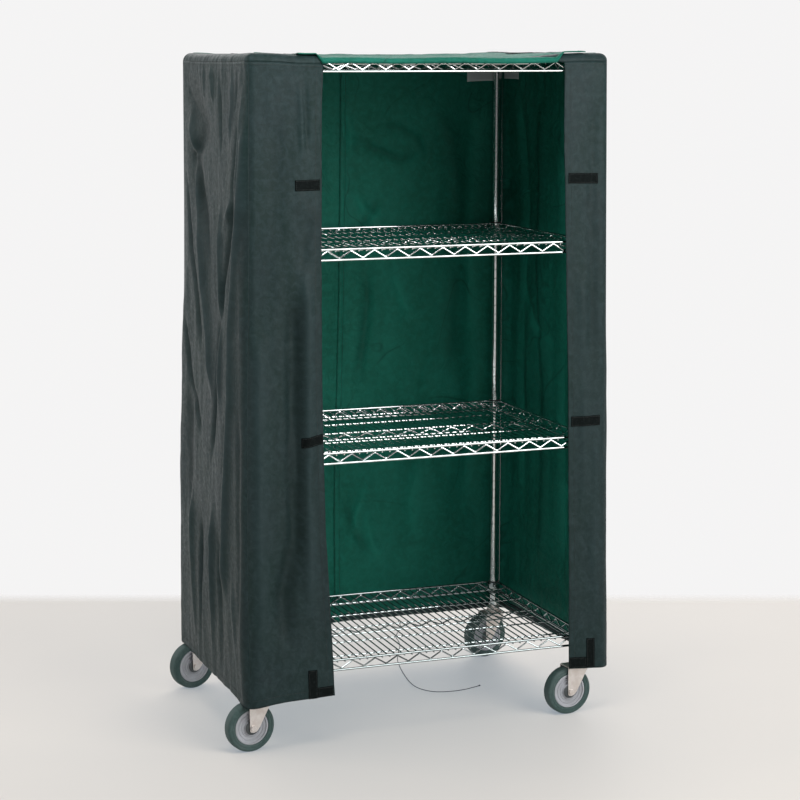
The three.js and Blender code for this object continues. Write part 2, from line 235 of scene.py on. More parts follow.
class Recipe:
    """A material being put together from nodes around one Principled shader."""

    def __init__(self, name):
        self.material = bpy.data.materials.new(name)
        self.material.use_nodes = True
        self.nodes = self.material.node_tree.nodes
        self.links = self.material.node_tree.links
        self.shader = self.nodes["Principled BSDF"]

    def add(self, kind, **inputs):
        node = self.nodes.new("ShaderNode" + kind)
        for key, value in inputs.items():
            self.feed(node, key.replace("_", " "), value)
        return node

    def feed(self, node, key, value):
        if isinstance(value, bpy.types.NodeSocket):
            self.links.new(value, node.inputs[key])
        else:
            node.inputs[key].default_value = value

    def place(self, source="Object", scale=(1, 1, 1)):
        """Texture coordinates, stretched."""
        coordinates = self.add("TexCoord")
        mapping = self.add("Mapping", Vector=coordinates.outputs[source], Scale=scale)
        return mapping.outputs["Vector"]

    def noise(self, vector, scale, detail=3.0, roughness=0.5, distortion=0.0):
        node = self.add("TexNoise", Vector=vector, Scale=scale, Detail=detail)
        node.inputs["Roughness"].default_value = roughness
        node.inputs["Distortion"].default_value = distortion
        return node.outputs["Fac"]

    def spread(self, factor, low, high, start=0.0, end=1.0):
        """Maps start..end onto low..high."""
        node = self.add("MapRange", Value=factor)
        node.inputs["From Min"].default_value = start
        node.inputs["From Max"].default_value = end
        node.inputs["To Min"].default_value = low
        node.inputs["To Max"].default_value = high
        return node.outputs["Result"]

    def blend(self, factor, first, second):
        node = self.nodes.new("ShaderNodeMix")
        node.data_type = "RGBA"
        self.feed(node, 0, factor)
        for key, value in ((6, first), (7, second)):
            self.feed(node, key, value if isinstance(value, bpy.types.NodeSocket) else (*value, 1))
        return node.outputs[2]

    def maths(self, operation, first, second=0.0):
        node = self.nodes.new("ShaderNodeMath")
        node.operation = operation
        self.feed(node, 0, first)
        self.feed(node, 1, second)
        return node.outputs[0]

    def bump(self, height, distance, strength=1.0, under=None):
        node = self.add("Bump", Height=height, Distance=distance, Strength=strength)
        if under is not None:
            self.links.new(under, node.inputs["Normal"])
        self.links.new(node.outputs["Normal"], self.shader.inputs["Normal"])
        return node.outputs["Normal"]

    def set(self, **values):
        """Shader sockets that are the same all over."""
        for key, value in values.items():
            self.shader.inputs[key.replace("_", " ")].default_value = value

    def link(self, key, socket):
        self.links.new(socket, self.shader.inputs[key])


WEAVE_SCALE = 450.0
WEAVE_DEPTH = 0.0002
RIDGE, VALLEY = 0.012, 0.010  # a fold's height where its painted highlight is strongest, and its depth where its painted shade is darkest


def chrome(name, tint, rough_low, rough_high, haze):
    """Bright plated steel with faint cloudiness."""
    r = Recipe(name)
    cloud = r.noise(r.place(), 60.0, 4.0)
    streak = r.noise(r.place(scale=(1, 1, 0.1)), 900.0, 2.0)
    r.link("Base Color", r.blend(r.spread(cloud, 0, 1, 0.35, 0.7), tint, [c * haze for c in tint]))
    r.link("Roughness", r.spread(streak, rough_low, rough_high, 0.3, 0.7))
    r.set(Metallic=1.0)
    r.bump(cloud, 0.0002, 0.15)
    return r.material


def plated_zinc():
    """Dull zinc plate with a warm blotchy passivation."""
    r = Recipe("plated_zinc")
    blotch = r.noise(r.place(), 45.0, 5.0, 0.6)
    grain = r.noise(r.place(), 700.0, 2.0)
    r.link("Base Color", r.blend(r.spread(blotch, 0, 1, 0.35, 0.65), (0.74, 0.70, 0.67), (0.62, 0.56, 0.52)))
    r.link("Roughness", r.spread(grain, 0.34, 0.5, 0.3, 0.7))
    r.set(Metallic=0.85)
    r.bump(grain, 0.0002, 0.25)
    return r.material


def plastic(name, colour, worn, rough):
    """Moulded plastic, finely textured."""
    r = Recipe(name)
    pebble = r.noise(r.place(), 1500.0, 2.0)
    patch = r.noise(r.place(), 35.0, 4.0)
    r.link("Base Color", r.blend(r.spread(patch, 0, 1, 0.4, 0.7), colour, worn))
    r.link("Roughness", r.spread(patch, rough, rough + 0.15, 0.3, 0.7))
    r.bump(pebble, 0.0001, 0.5)
    return r.material


def tyre_rubber():
    """Grey-green rubber, scuffed pale on the tread, with floor dust."""
    r = Recipe("tyre_rubber")
    scuff = r.noise(r.place(), 120.0, 6.0, 0.65)
    dust = r.noise(r.place(), 18.0, 3.0)
    base = r.blend(r.spread(scuff, 0, 1, 0.45, 0.75), (0.026, 0.058, 0.054), (0.055, 0.098, 0.092))
    r.link("Base Color", r.blend(r.spread(dust, 0, 0.5, 0.5, 0.8), base, (0.10, 0.13, 0.125)))
    r.link("Roughness", r.spread(scuff, 0.55, 0.8, 0.3, 0.7))
    r.bump(scuff, 0.0006, 0.4)
    return r.material


def coated_cloth(name, deep, pale, rough, gloss, creased, mottled, lined, shaded):
    """Coated woven nylon: a fine plain weave under a satin coat, with soft creases.

    The texture place is metres along the cloth, so the weave keeps its size whichever way a panel faces.
    A painted highlight makes the coat pale where folds stand out, and painted shade darkens it in the
    valleys. Thin dark lines are painted shade along made-up creases. creased is the depth of the soft
    creases; mottled, lined and shaded say how strong the mottling, the painted crease lines and the
    valleys' painted shade are."""
    r = Recipe(name)
    cloth = r.place("UV")
    patch = r.noise(r.place("UV", (1.0, 0.6, 1.0)), 6.0, 5.0, 0.6, 0.4)
    crease = r.noise(r.place("UV", (1.0, 0.8, 1.0)), 20.0, 6.0, 0.55, 1.2)
    crackle = r.noise(cloth, 95.0, 4.0, 0.6, 0.8)
    mottle = r.noise(cloth, 60.0, 5.0, 0.65, 0.6)
    warp = r.add("TexWave", Vector=cloth, Scale=WEAVE_SCALE, Distortion=0.6)
    weft = r.add("TexWave", Vector=cloth, Scale=WEAVE_SCALE, Distortion=0.6)
    weft.bands_direction = "Y"
    weave = r.maths("MULTIPLY", warp.outputs["Fac"], weft.outputs["Fac"])
    painted_highlight_and_weave_pale = [c * 1.7 for c in pale]
    colour = r.blend(r.spread(patch, 0, 1, 0.3, 0.7), deep, pale)
    colour = r.blend(r.spread(mottle, 0, 0.6, 0.42, 0.70), colour, [c * mottled for c in pale])
    # Painted light: the stored fold height paints a highlight on fold ridges and painted shade in their
    # valleys.
    folded = r.nodes.new("ShaderNodeAttribute")
    folded.attribute_name = "folded"
    stands = folded.outputs["Fac"]
    colour = r.blend(r.spread(stands, 0.0, 0.55, 0.0, RIDGE), colour, painted_highlight_and_weave_pale)
    colour = r.blend(r.spread(stands, 0.0, shaded, 0.0, -VALLEY), colour, [c * 0.4 for c in deep])
    # Painted shade: thin dark lines where creases would lie in shade.
    wander = r.noise(r.place("UV", (1.0, 0.8, 1.0)), 3.4, 2.0, 0.5, 0.9)
    from_line = r.maths("ABSOLUTE", r.maths("SUBTRACT", wander, 0.5))
    line = r.spread(from_line, lined, 0.0, 0.0, 0.011)
    line = r.maths("MULTIPLY", line, r.spread(patch, 0, 1, 0.42, 0.56))
    colour = r.blend(line, colour, [c * 0.3 for c in deep])
    r.link("Base Color", r.blend(r.spread(weave, 0.0, 0.25), colour, painted_highlight_and_weave_pale))
    r.link("Roughness", r.spread(crackle, rough - 0.1, rough + 0.14, 0.3, 0.7))
    r.set(Specular_IOR_Level=gloss)
    soft = r.bump(crease, creased, 0.8)
    fine = r.bump(crackle, 0.0010, 0.5, soft)
    r.bump(weave, WEAVE_DEPTH, 0.4, fine)
    return r.material


def hook_tape():
    """Black tape covered in tiny upright hooks."""
    r = Recipe("hook_tape")
    cells = r.add("TexVoronoi", Vector=r.place(), Scale=900.0)
    lint = r.noise(r.place(), 160.0, 4.0)
    dusty = r.spread(lint, 0, 1, 0.5, 0.8)
    r.link("Base Color", r.blend(dusty, (0.003, 0.005, 0.005), (0.012, 0.016, 0.016)))
    r.link("Roughness", r.spread(lint, 0.75, 0.95, 0.3, 0.7))
    r.set(Specular_IOR_Level=0.08)
    r.bump(cells.outputs["Distance"], 0.0008, 0.9)
    return r.material


def twisted_twine():
    """Dark plied twine."""
    r = Recipe("twisted_twine")
    strand = r.add("TexWave", Vector=r.place(), Scale=380.0, Distortion=1.5)
    strand.bands_direction = "DIAGONAL"
    r.link("Base Color", r.blend(strand.outputs["Fac"], (0.03, 0.035, 0.038), (0.10, 0.11, 0.115)))
    r.link("Roughness", r.spread(strand.outputs["Fac"], 0.7, 0.9))
    r.bump(strand.outputs["Fac"], 0.0004, 0.8)
    return r.material


def blank_label():
    """A blank frosted label."""
    r = Recipe("blank_label")
    fog = r.noise(r.place(), 30.0, 3.0)
    r.link("Base Color", r.blend(fog, (0.32, 0.36, 0.36), (0.42, 0.46, 0.46)))
    r.link("Roughness", r.spread(fog, 0.35, 0.5))
    r.bump(r.noise(r.place(), 400.0), 0.0002, 0.2)
    return r.material


CHROME = chrome("bright_chrome", (0.64, 0.68, 0.68), 0.05, 0.11, 0.9)
# A darker copy of the bright chrome, the same plating, for the bottom shelf: painted shade.
SHADED_CHROME = chrome("shaded_chrome", (0.33, 0.37, 0.37), 0.07, 0.14, 0.9)
POST_CHROME = chrome("post_chrome", (0.60, 0.64, 0.63), 0.10, 0.20, 0.85)
ZINC = plated_zinc()
BLACK_PLASTIC = plastic("black_plastic", (0.012, 0.013, 0.014), (0.028, 0.030, 0.031), 0.35)
GREY_PLASTIC = plastic("grey_plastic", (0.37, 0.38, 0.41), (0.30, 0.31, 0.33), 0.35)
HUB_PLASTIC = plastic("hub_plastic", (0.045, 0.052, 0.055), (0.075, 0.083, 0.085), 0.4)
RUBBER = tyre_rubber()
OUTSIDE = coated_cloth(
    "cloth_outside", (0.0060, 0.0190, 0.0165), (0.0125, 0.0230, 0.0250),
    rough=0.46, gloss=0.15, creased=0.0014, mottled=1.9, lined=0.18, shaded=0.35,
)
INSIDE = coated_cloth(
    "cloth_inside", (0.004, 0.074, 0.049), (0.009, 0.118, 0.084),
    rough=0.55, gloss=0.10, creased=0.0075, mottled=1.25, lined=0.50, shaded=0.55,
)
TAPE = hook_tape()
THREAD = plastic("sewing_thread", (0.008, 0.012, 0.011), (0.02, 0.026, 0.025), 0.6)
TWINE = twisted_twine()
LABEL = blank_label()


# ---- Wire shelves --------------------------------------------------------------------------

WELD = 0.001  # how far two crossing wires sink into each other where they are welded
TRUSS_BEND = 0.0045  # radius of a truss wire's bends


def zigzag(along_half, phase, peak, valley):
    """Bends of a truss wire as (distance along, height) pairs."""
    half = TRUSS_PITCH / 2
    first = math.ceil((-along_half - phase) / half)
    last = math.floor((along_half - phase) / half)
    return [(phase + i * half, peak if i % 2 == 0 else valley) for i in range(first, last + 1)]


def truss(shape, place, along_half, phase, peak, valley):
    """A zigzag wire; place turns (distance along, height) into a point."""
    bends = zigzag(along_half, phase, peak, valley)
    tube(shape, rounded([place(a, z) for a, z in bends], TRUSS_BEND, 3), TRUSS_RADIUS)


def shelf_wires(z):
    """One welded shelf: two rims joined by zigzags, a trussed middle, stringers and the deck wires."""
    shape = Shape()
    reach_x = POST_X - 0.004
    reach_y = POST_Y - 0.004
    peak = z - RIM_RADIUS - TRUSS_RADIUS + WELD
    valley = z - RIM_DROP + RIM_RADIUS + TRUSS_RADIUS - WELD
    for height in (z, z - RIM_DROP):
        for side in (-1, 1):
            tube(shape, [(-reach_x, side * RIM_Y, height), (reach_x, side * RIM_Y, height)], RIM_RADIUS, 12)
            tube(shape, [(side * RIM_X, -reach_y, height), (side * RIM_X, reach_y, height)], RIM_RADIUS, 12)
    truss(shape, lambda a, h: (a, -RIM_Y, h), reach_x, TRUSS_PHASES["front"], peak, valley)
    truss(shape, lambda a, h: (a, RIM_Y, h), reach_x, TRUSS_PHASES["back"], peak, valley)
    for side in (-1, 1):
        truss(shape, lambda a, h: (side * RIM_X, a, h), reach_y, 0.0, peak, valley)
    # The middle of the deck is stiffened by a truss of its own.
    inner = RIM_X - RIM_RADIUS - STRINGER_RADIUS
    top = z - STRINGER_DROP
    low = z - RIM_DROP
    bent = STRINGER_RADIUS + TRUSS_RADIUS - WELD
    truss(shape, lambda a, h: (a, 0, h), inner, TRUSS_PHASES["centre"], top - bent, low + bent)
    for y, height in [(0, top), (0, low), *((y, top) for y in STRINGERS)]:
        tube(shape, [(-inner, y, height), (inner, y, height)], STRINGER_RADIUS)
    phase = TRUSS_PHASES["front"]
    reach = RIM_X - 0.012
    for i in range(math.ceil((-reach - phase) / DECK_PITCH), math.floor((reach - phase) / DECK_PITCH) + 1):
        x = phase + i * DECK_PITCH
        beside_post = abs(x) > POST_X - 0.024
        end = POST_Y - 0.02 if beside_post else RIM_Y + WELD
        tube(shape, [(x, -end, z - DECK_DROP), (x, end, z - DECK_DROP)], DECK_RADIUS)
    return shape


# Outlines round a post, from the top rim wire's height: the collar, tapered and rolled at both lips, and
# the wedge-shaped plastic sleeve inside it.
COLLAR = [
    (0.0168, -0.0290), (0.0191, -0.0290), (0.0194, -0.0280), (0.0190, -0.0268), (0.0178, 0.0018),
    (0.0180, 0.0028), (0.0174, 0.0034), (0.0158, 0.0032), (0.0158, 0.0020),
]
SLEEVE = [
    (0.0131, -0.0288), (0.0164, -0.0288), (0.0155, 0.0030),
    (0.0155, 0.0052), (0.0149, 0.0060), (0.0131, 0.0060),
]

for level, z in SHELF_LEVELS.items():
    # The bottom shelf takes the darker copy of the chrome: painted shade.
    plate = SHADED_CHROME if level == "bottom" else CHROME
    make(f"shelf_wires_{level}", shelf_wires(z), plate, "cart", "chromed_wire", [f"shelf_{level}"])
    collars = Shape()
    for sx, sy in CORNERS.values():
        turned(collars, COLLAR, 32, Matrix.Translation((sx * POST_X, sy * POST_Y, z)), closed=True)
    make(f"shelf_collars_{level}", collars, plate, "cart", "chromed_wire")
    for corner, (sx, sy) in CORNERS.items():
        node = f"sleeve_{level}_{corner}"
        sleeve = Shape()
        turned(sleeve, SLEEVE, 32, Matrix.Translation((sx * POST_X, sy * POST_Y, z)), closed=True)
        make(f"{node}_plastic", sleeve, BLACK_PLASTIC, "cart", "sleeve_plastic", [node])


# ---- Posts ---------------------------------------------------------------------------------

BORE = POST_RADIUS - 0.0015
PLUG = POST_RADIUS - 0.0018  # what stands in the bore at either end
GROOVE = 0.0007  # depth of a groove and half the width of its floor


def post_profile():
    """A tube grooved every inch."""
    profile = [(BORE, POST_BOTTOM), (POST_RADIUS - 0.0004, POST_BOTTOM), (POST_RADIUS, POST_BOTTOM + 0.0006)]
    z = POST_BOTTOM + GROOVE_PITCH / 2
    while z < POST_TOP - 0.005:
        profile += [(POST_RADIUS, z - 0.0016), (POST_RADIUS - GROOVE, z - GROOVE)]
        profile += [(POST_RADIUS - GROOVE, z + GROOVE), (POST_RADIUS, z + 0.0016)]
        z += GROOVE_PITCH
    return profile + [(POST_RADIUS, POST_TOP), (BORE, POST_TOP)]


# The domed cap, from its plug in the post up, and the caster's stem, from its race up into the post.
CAP = [(0, -0.012), (PLUG, -0.012), (PLUG, 0.0002), (POST_RADIUS, 0.0002), (POST_RADIUS - 0.0004, 0.0018)]
CAP += [(POST_RADIUS - 0.002, 0.0032), (POST_RADIUS - 0.006, 0.0041), (0, 0.0043)]
CAP = [(radius, POST_TOP + height) for radius, height in CAP]
STEM = [(0, 0.0003), (0.0172, 0.0003), (0.018, 0.0012), (0.018, 0.0042), (0.0165, 0.0052)]
STEM = [(radius, RACE_TOP + height) for radius, height in STEM]
STEM += [(0.0142, POST_BOTTOM - 0.0012), (0.0135, POST_BOTTOM - 0.0003), (PLUG, POST_BOTTOM - 0.0003)]
STEM += [(PLUG, POST_BOTTOM + 0.068), (PLUG - 0.002, POST_BOTTOM + 0.070), (0, POST_BOTTOM + 0.070)]

for corner, (sx, sy) in CORNERS.items():
    spot = Matrix.Translation((sx * POST_X, sy * POST_Y, 0))
    for name, profile, bored, material, slot, node in (
        ("grooved_post", post_profile(), True, POST_CHROME, "post_chrome", "post"),
        ("domed_cap", CAP, False, BLACK_PLASTIC, "cap_plastic", "post_cap"),
        ("stem", STEM, False, ZINC, "zinc_steel", "caster_stem"),
    ):
        shape = Shape()
        turned(shape, profile, 32, spot, closed=bored)
        make(f"{name}_{corner}", shape, material, "cart", slot, [f"{node}_{corner}"])


# ---- Casters -------------------------------------------------------------------------------


def fork_shape(place):
    """Two pressed legs hanging from a plate, with the swivel's ball race above it."""
    shape = Shape()
    top = FORK_PLATE + LEG
    # A leg seen from the side, down its rear edge, round the axle and up its front edge.
    side = [(-0.009, top - 0.0002), (-0.008, WHEEL_RADIUS - 0.006), (-0.006, WHEEL_RADIUS - 0.0105)]
    side += [(0.002, WHEEL_RADIUS - 0.0125), (0.010, WHEEL_RADIUS - 0.010), (0.018, WHEEL_RADIUS - 0.001)]
    side += [(0.050, FORK_PLATE - 0.006), (0.053, top - 0.0002)]
    side = smooth_outline([(x - TRAIL, z) for x, z in side], 0.004)
    for low in (-FORK_HALF, FORK_HALF - LEG):
        slab(shape, side, low, low + LEG, place)
    rear, front, half = -TRAIL - 0.0088, -TRAIL + 0.0528, FORK_HALF - 0.0004
    plate = smooth_outline([(rear, -half), (front, -half), (front, half), (rear, half)], 0.005)
    slab(shape, plate, -top, -FORK_PLATE, place @ AXLE_TURN)
    ring = [
        (0, FORK_PLATE + 0.001), (0.0185, FORK_PLATE + 0.001), (0.019, FORK_PLATE + 0.0032),
        (0.019, RACE_TOP - 0.0030), (0.0182, RACE_TOP - 0.0010), (0.0160, RACE_TOP), (0, RACE_TOP),
    ]
    turned(shape, ring, 40, place)
    return shape


def axle_shape(across):
    """A bolt with a hexagon head on one side and a nut on the other."""
    shape = Shape()
    head = FORK_HALF + 0.0003
    tip = head + 0.0068
    turned(shape, [(0, -head), (0.004, -head), (0.004, head), (0, head)], 20, across)
    for low, high in ((-head - 0.004, -head), (head, head + 0.005)):
        turned(shape, [(0, low), (0.0066, low), (0.0073, low + 0.0006), (0.0073, high), (0, high)], 6, across)
    turned(shape, [(0, head + 0.005), (0.0038, head + 0.005), (0.0034, tip), (0, tip)], 16, across)
    return shape


def mirrored(face):
    """A profile and its mirror image across the wheel's middle."""
    return face + [(r, -z) for r, z in reversed(face)]


def core_shape(across):
    """The wheel's body: a bright rim, ribs in rings, and a hub."""
    shape = Shape()
    half = TREAD_HALF
    rim = WHEEL_RADIUS - 0.0182
    face = [
        (0.0043, half + 0.0008), (0.0110, half + 0.0010), (0.0175, half + 0.0004), (0.0188, half - 0.0010),
        (0.0192, half - 0.0050), (0.0240, half - 0.0056), (0.0246, half - 0.0040), (0.0262, half - 0.0040),
        (0.0268, half - 0.0056), (0.0320, half - 0.0052), (0.0326, half - 0.0036), (0.0342, half - 0.0036),
        (0.0348, half - 0.0050), (0.0398, half - 0.0040), (0.0406, half - 0.0012),
        (rim - 0.0012, half - 0.0006), (rim, half - 0.0018),
    ]
    turned(shape, mirrored(face), 64, across, closed=True)
    return shape


def guard_shape(across):
    """The dark dished thread guard over each side of the hub."""
    shape = Shape()
    for side in (-1, 1):
        out = side * (TREAD_HALF + 0.0012)
        profile = [(0.0046, out), (0.0046, out + side * 0.0014), (0.0120, out + side * 0.0016)]
        profile += [(0.0178, out + side * 0.0006), (0.0184, out - side * 0.0003), (0.0140, out)]
        turned(shape, profile[::side], 48, across, closed=True)
    return shape


def tyre_shape(across):
    """A solid tread with round shoulders and a fine moulding line round each."""
    shape = Shape()
    half = TREAD_HALF
    inner = WHEEL_RADIUS - 0.0179
    outer = WHEEL_RADIUS
    shoulder = 0.0070
    face = [(inner, half - 0.0012), (inner + 0.0010, half - 0.0004), (outer - 0.0100, half)]
    face += [(outer - 0.0094, half - 0.0006), (outer - 0.0088, half)]
    for i in range(7):
        turn = math.radians(90 * i / 6)
        out, up = shoulder * math.sin(turn), shoulder * math.cos(turn)
        face.append((outer - shoulder + out, half - shoulder + up))
    turned(shape, mirrored(face)[::-1], 72, across, closed=True)
    return shape


for corner, (sx, sy) in CORNERS.items():
    rest = Matrix.Rotation(math.radians(TRAIL_ANGLE[corner]), 4, "Z")
    swivel = Matrix.Translation((sx * POST_X, sy * POST_Y, 0)) @ rest
    wheel = swivel @ Matrix.Translation((-TRAIL, 0, WHEEL_RADIUS)) @ AXLE_TURN
    turning, rolling = f"swivel_{corner}", f"wheel_{corner}"
    fork = make(f"fork_{corner}", fork_shape(swivel), ZINC, turning, "zinc_steel", [f"caster_fork_{corner}"])
    soften(fork, 0.0006)
    make(f"axle_{corner}", axle_shape(wheel), ZINC, turning, "zinc_steel", [f"axle_bolt_{corner}"])
    core = [f"wheel_core_{corner}"]
    make(f"core_{corner}", core_shape(wheel), GREY_PLASTIC, rolling, "wheel_plastic", core, 60)
    make(f"hub_guard_{corner}", guard_shape(wheel), HUB_PLASTIC, rolling, "wheel_plastic", (), 60)
    make(f"tread_{corner}", tyre_shape(wheel), RUBBER, rolling, "tyre_rubber", [f"tyre_{corner}"], 60)


# ---- Cover ---------------------------------------------------------------------------------

# Plan corners of the cover's outside, and the doorway's edges, at heights up the cover: (z, x, y).
PLAN = {
    "door_left": [
        (0.13, -0.253, -0.326), (0.35, -0.261, -0.318), (0.55, -0.271, -0.314), (0.9, -0.277, -0.312),
        (1.25, -0.277, -0.312), (1.6, -0.272, -0.311), (1.73, -0.267, -0.311),
    ],
    "front_left": [
        (0.13, -0.482, -0.346), (0.35, -0.481, -0.327), (0.6, -0.478, -0.318), (0.85, -0.474, -0.315),
        (1.1, -0.468, -0.313), (1.35, -0.463, -0.312), (1.73, -0.46, -0.31),
    ],
    "rear_left": [
        (0.13, -0.482, 0.318), (0.4, -0.482, 0.316), (0.6, -0.48, 0.315), (0.85, -0.472, 0.315),
        (1.1, -0.465, 0.314), (1.35, -0.462, 0.312), (1.73, -0.46, 0.31),
    ],
    "rear_right": [(0.13, 0.474, 0.318), (0.6, 0.474, 0.316), (1.2, 0.472, 0.314), (1.73, 0.468, 0.31)],
    "front_right": [
        (0.13, 0.51, -0.332), (0.35, 0.511, -0.321), (0.6, 0.51, -0.316), (0.85, 0.506, -0.314),
        (1.1, 0.503, -0.313), (1.35, 0.5, -0.312), (1.73, 0.496, -0.31),
    ],
    "door_right": [
        (0.13, 0.398, -0.322), (0.7, 0.392, -0.314), (1.0, 0.386, -0.313), (1.25, 0.378, -0.312),
        (1.5, 0.371, -0.311), (1.73, 0.37, -0.311),
    ],
}
ROOF = 1.7310  # the roof's height where it passes over the post caps
ROOF_SLACK = 0.0115  # how far it hangs below that between the posts
ROLL = 0.021  # radius of the turn from wall to roof
CORNER_ROLL = 0.022  # radius of the cover's upright corners in plan
HEM_DROOP = 0.010  # the hem hangs this much lower at the front corners
FOLD_EASE = 0.12  # length over which a fold fades out at its ends, or less in a short one


def corner_at(name, z):
    """Plan place of a cover corner at these heights."""
    rows = PLAN[name]
    heights = [row[0] for row in rows]
    return np.stack([np.interp(z, heights, [row[k] for row in rows]) for k in (1, 2)], axis=-1)


def smooth_step(t):
    t = np.clip(t, 0, 1)
    return t * t * (3 - 2 * t)


def ripple(x, y, scale, seed, octaves=3):
    """Soft random relief between about -1 and 1 over arrays of places."""
    flat = [
        noise.fractal(Vector((a * scale, b * scale, seed)), 0.6, 2.1, octaves)
        for a, b in zip(np.ravel(x), np.ravel(y))
    ]
    return np.reshape(flat, np.shape(x))


def fold(s, z, path, height, width):
    """A soft ridge along a path of (s, z), or a valley if its height is negative; it fades at both ends."""
    nearest = np.full(s.shape, np.inf)
    travelled = np.zeros(s.shape)
    run = 0.0
    for (s0, z0), (s1, z1) in zip(path, path[1:]):
        length = math.hypot(s1 - s0, z1 - z0)
        t = np.clip(((s - s0) * (s1 - s0) + (z - z0) * (z1 - z0)) / length**2, 0, 1)
        away = np.hypot(s - s0 - t * (s1 - s0), z - z0 - t * (z1 - z0))
        travelled = np.where(away < nearest, run + t * length, travelled)
        nearest = np.minimum(nearest, away)
        run += length
    ease = min(FOLD_EASE, 0.35 * run)
    fade = smooth_step(travelled / ease) * smooth_step((run - travelled) / ease)
    return height * np.exp(-((nearest / width) ** 2)) * fade


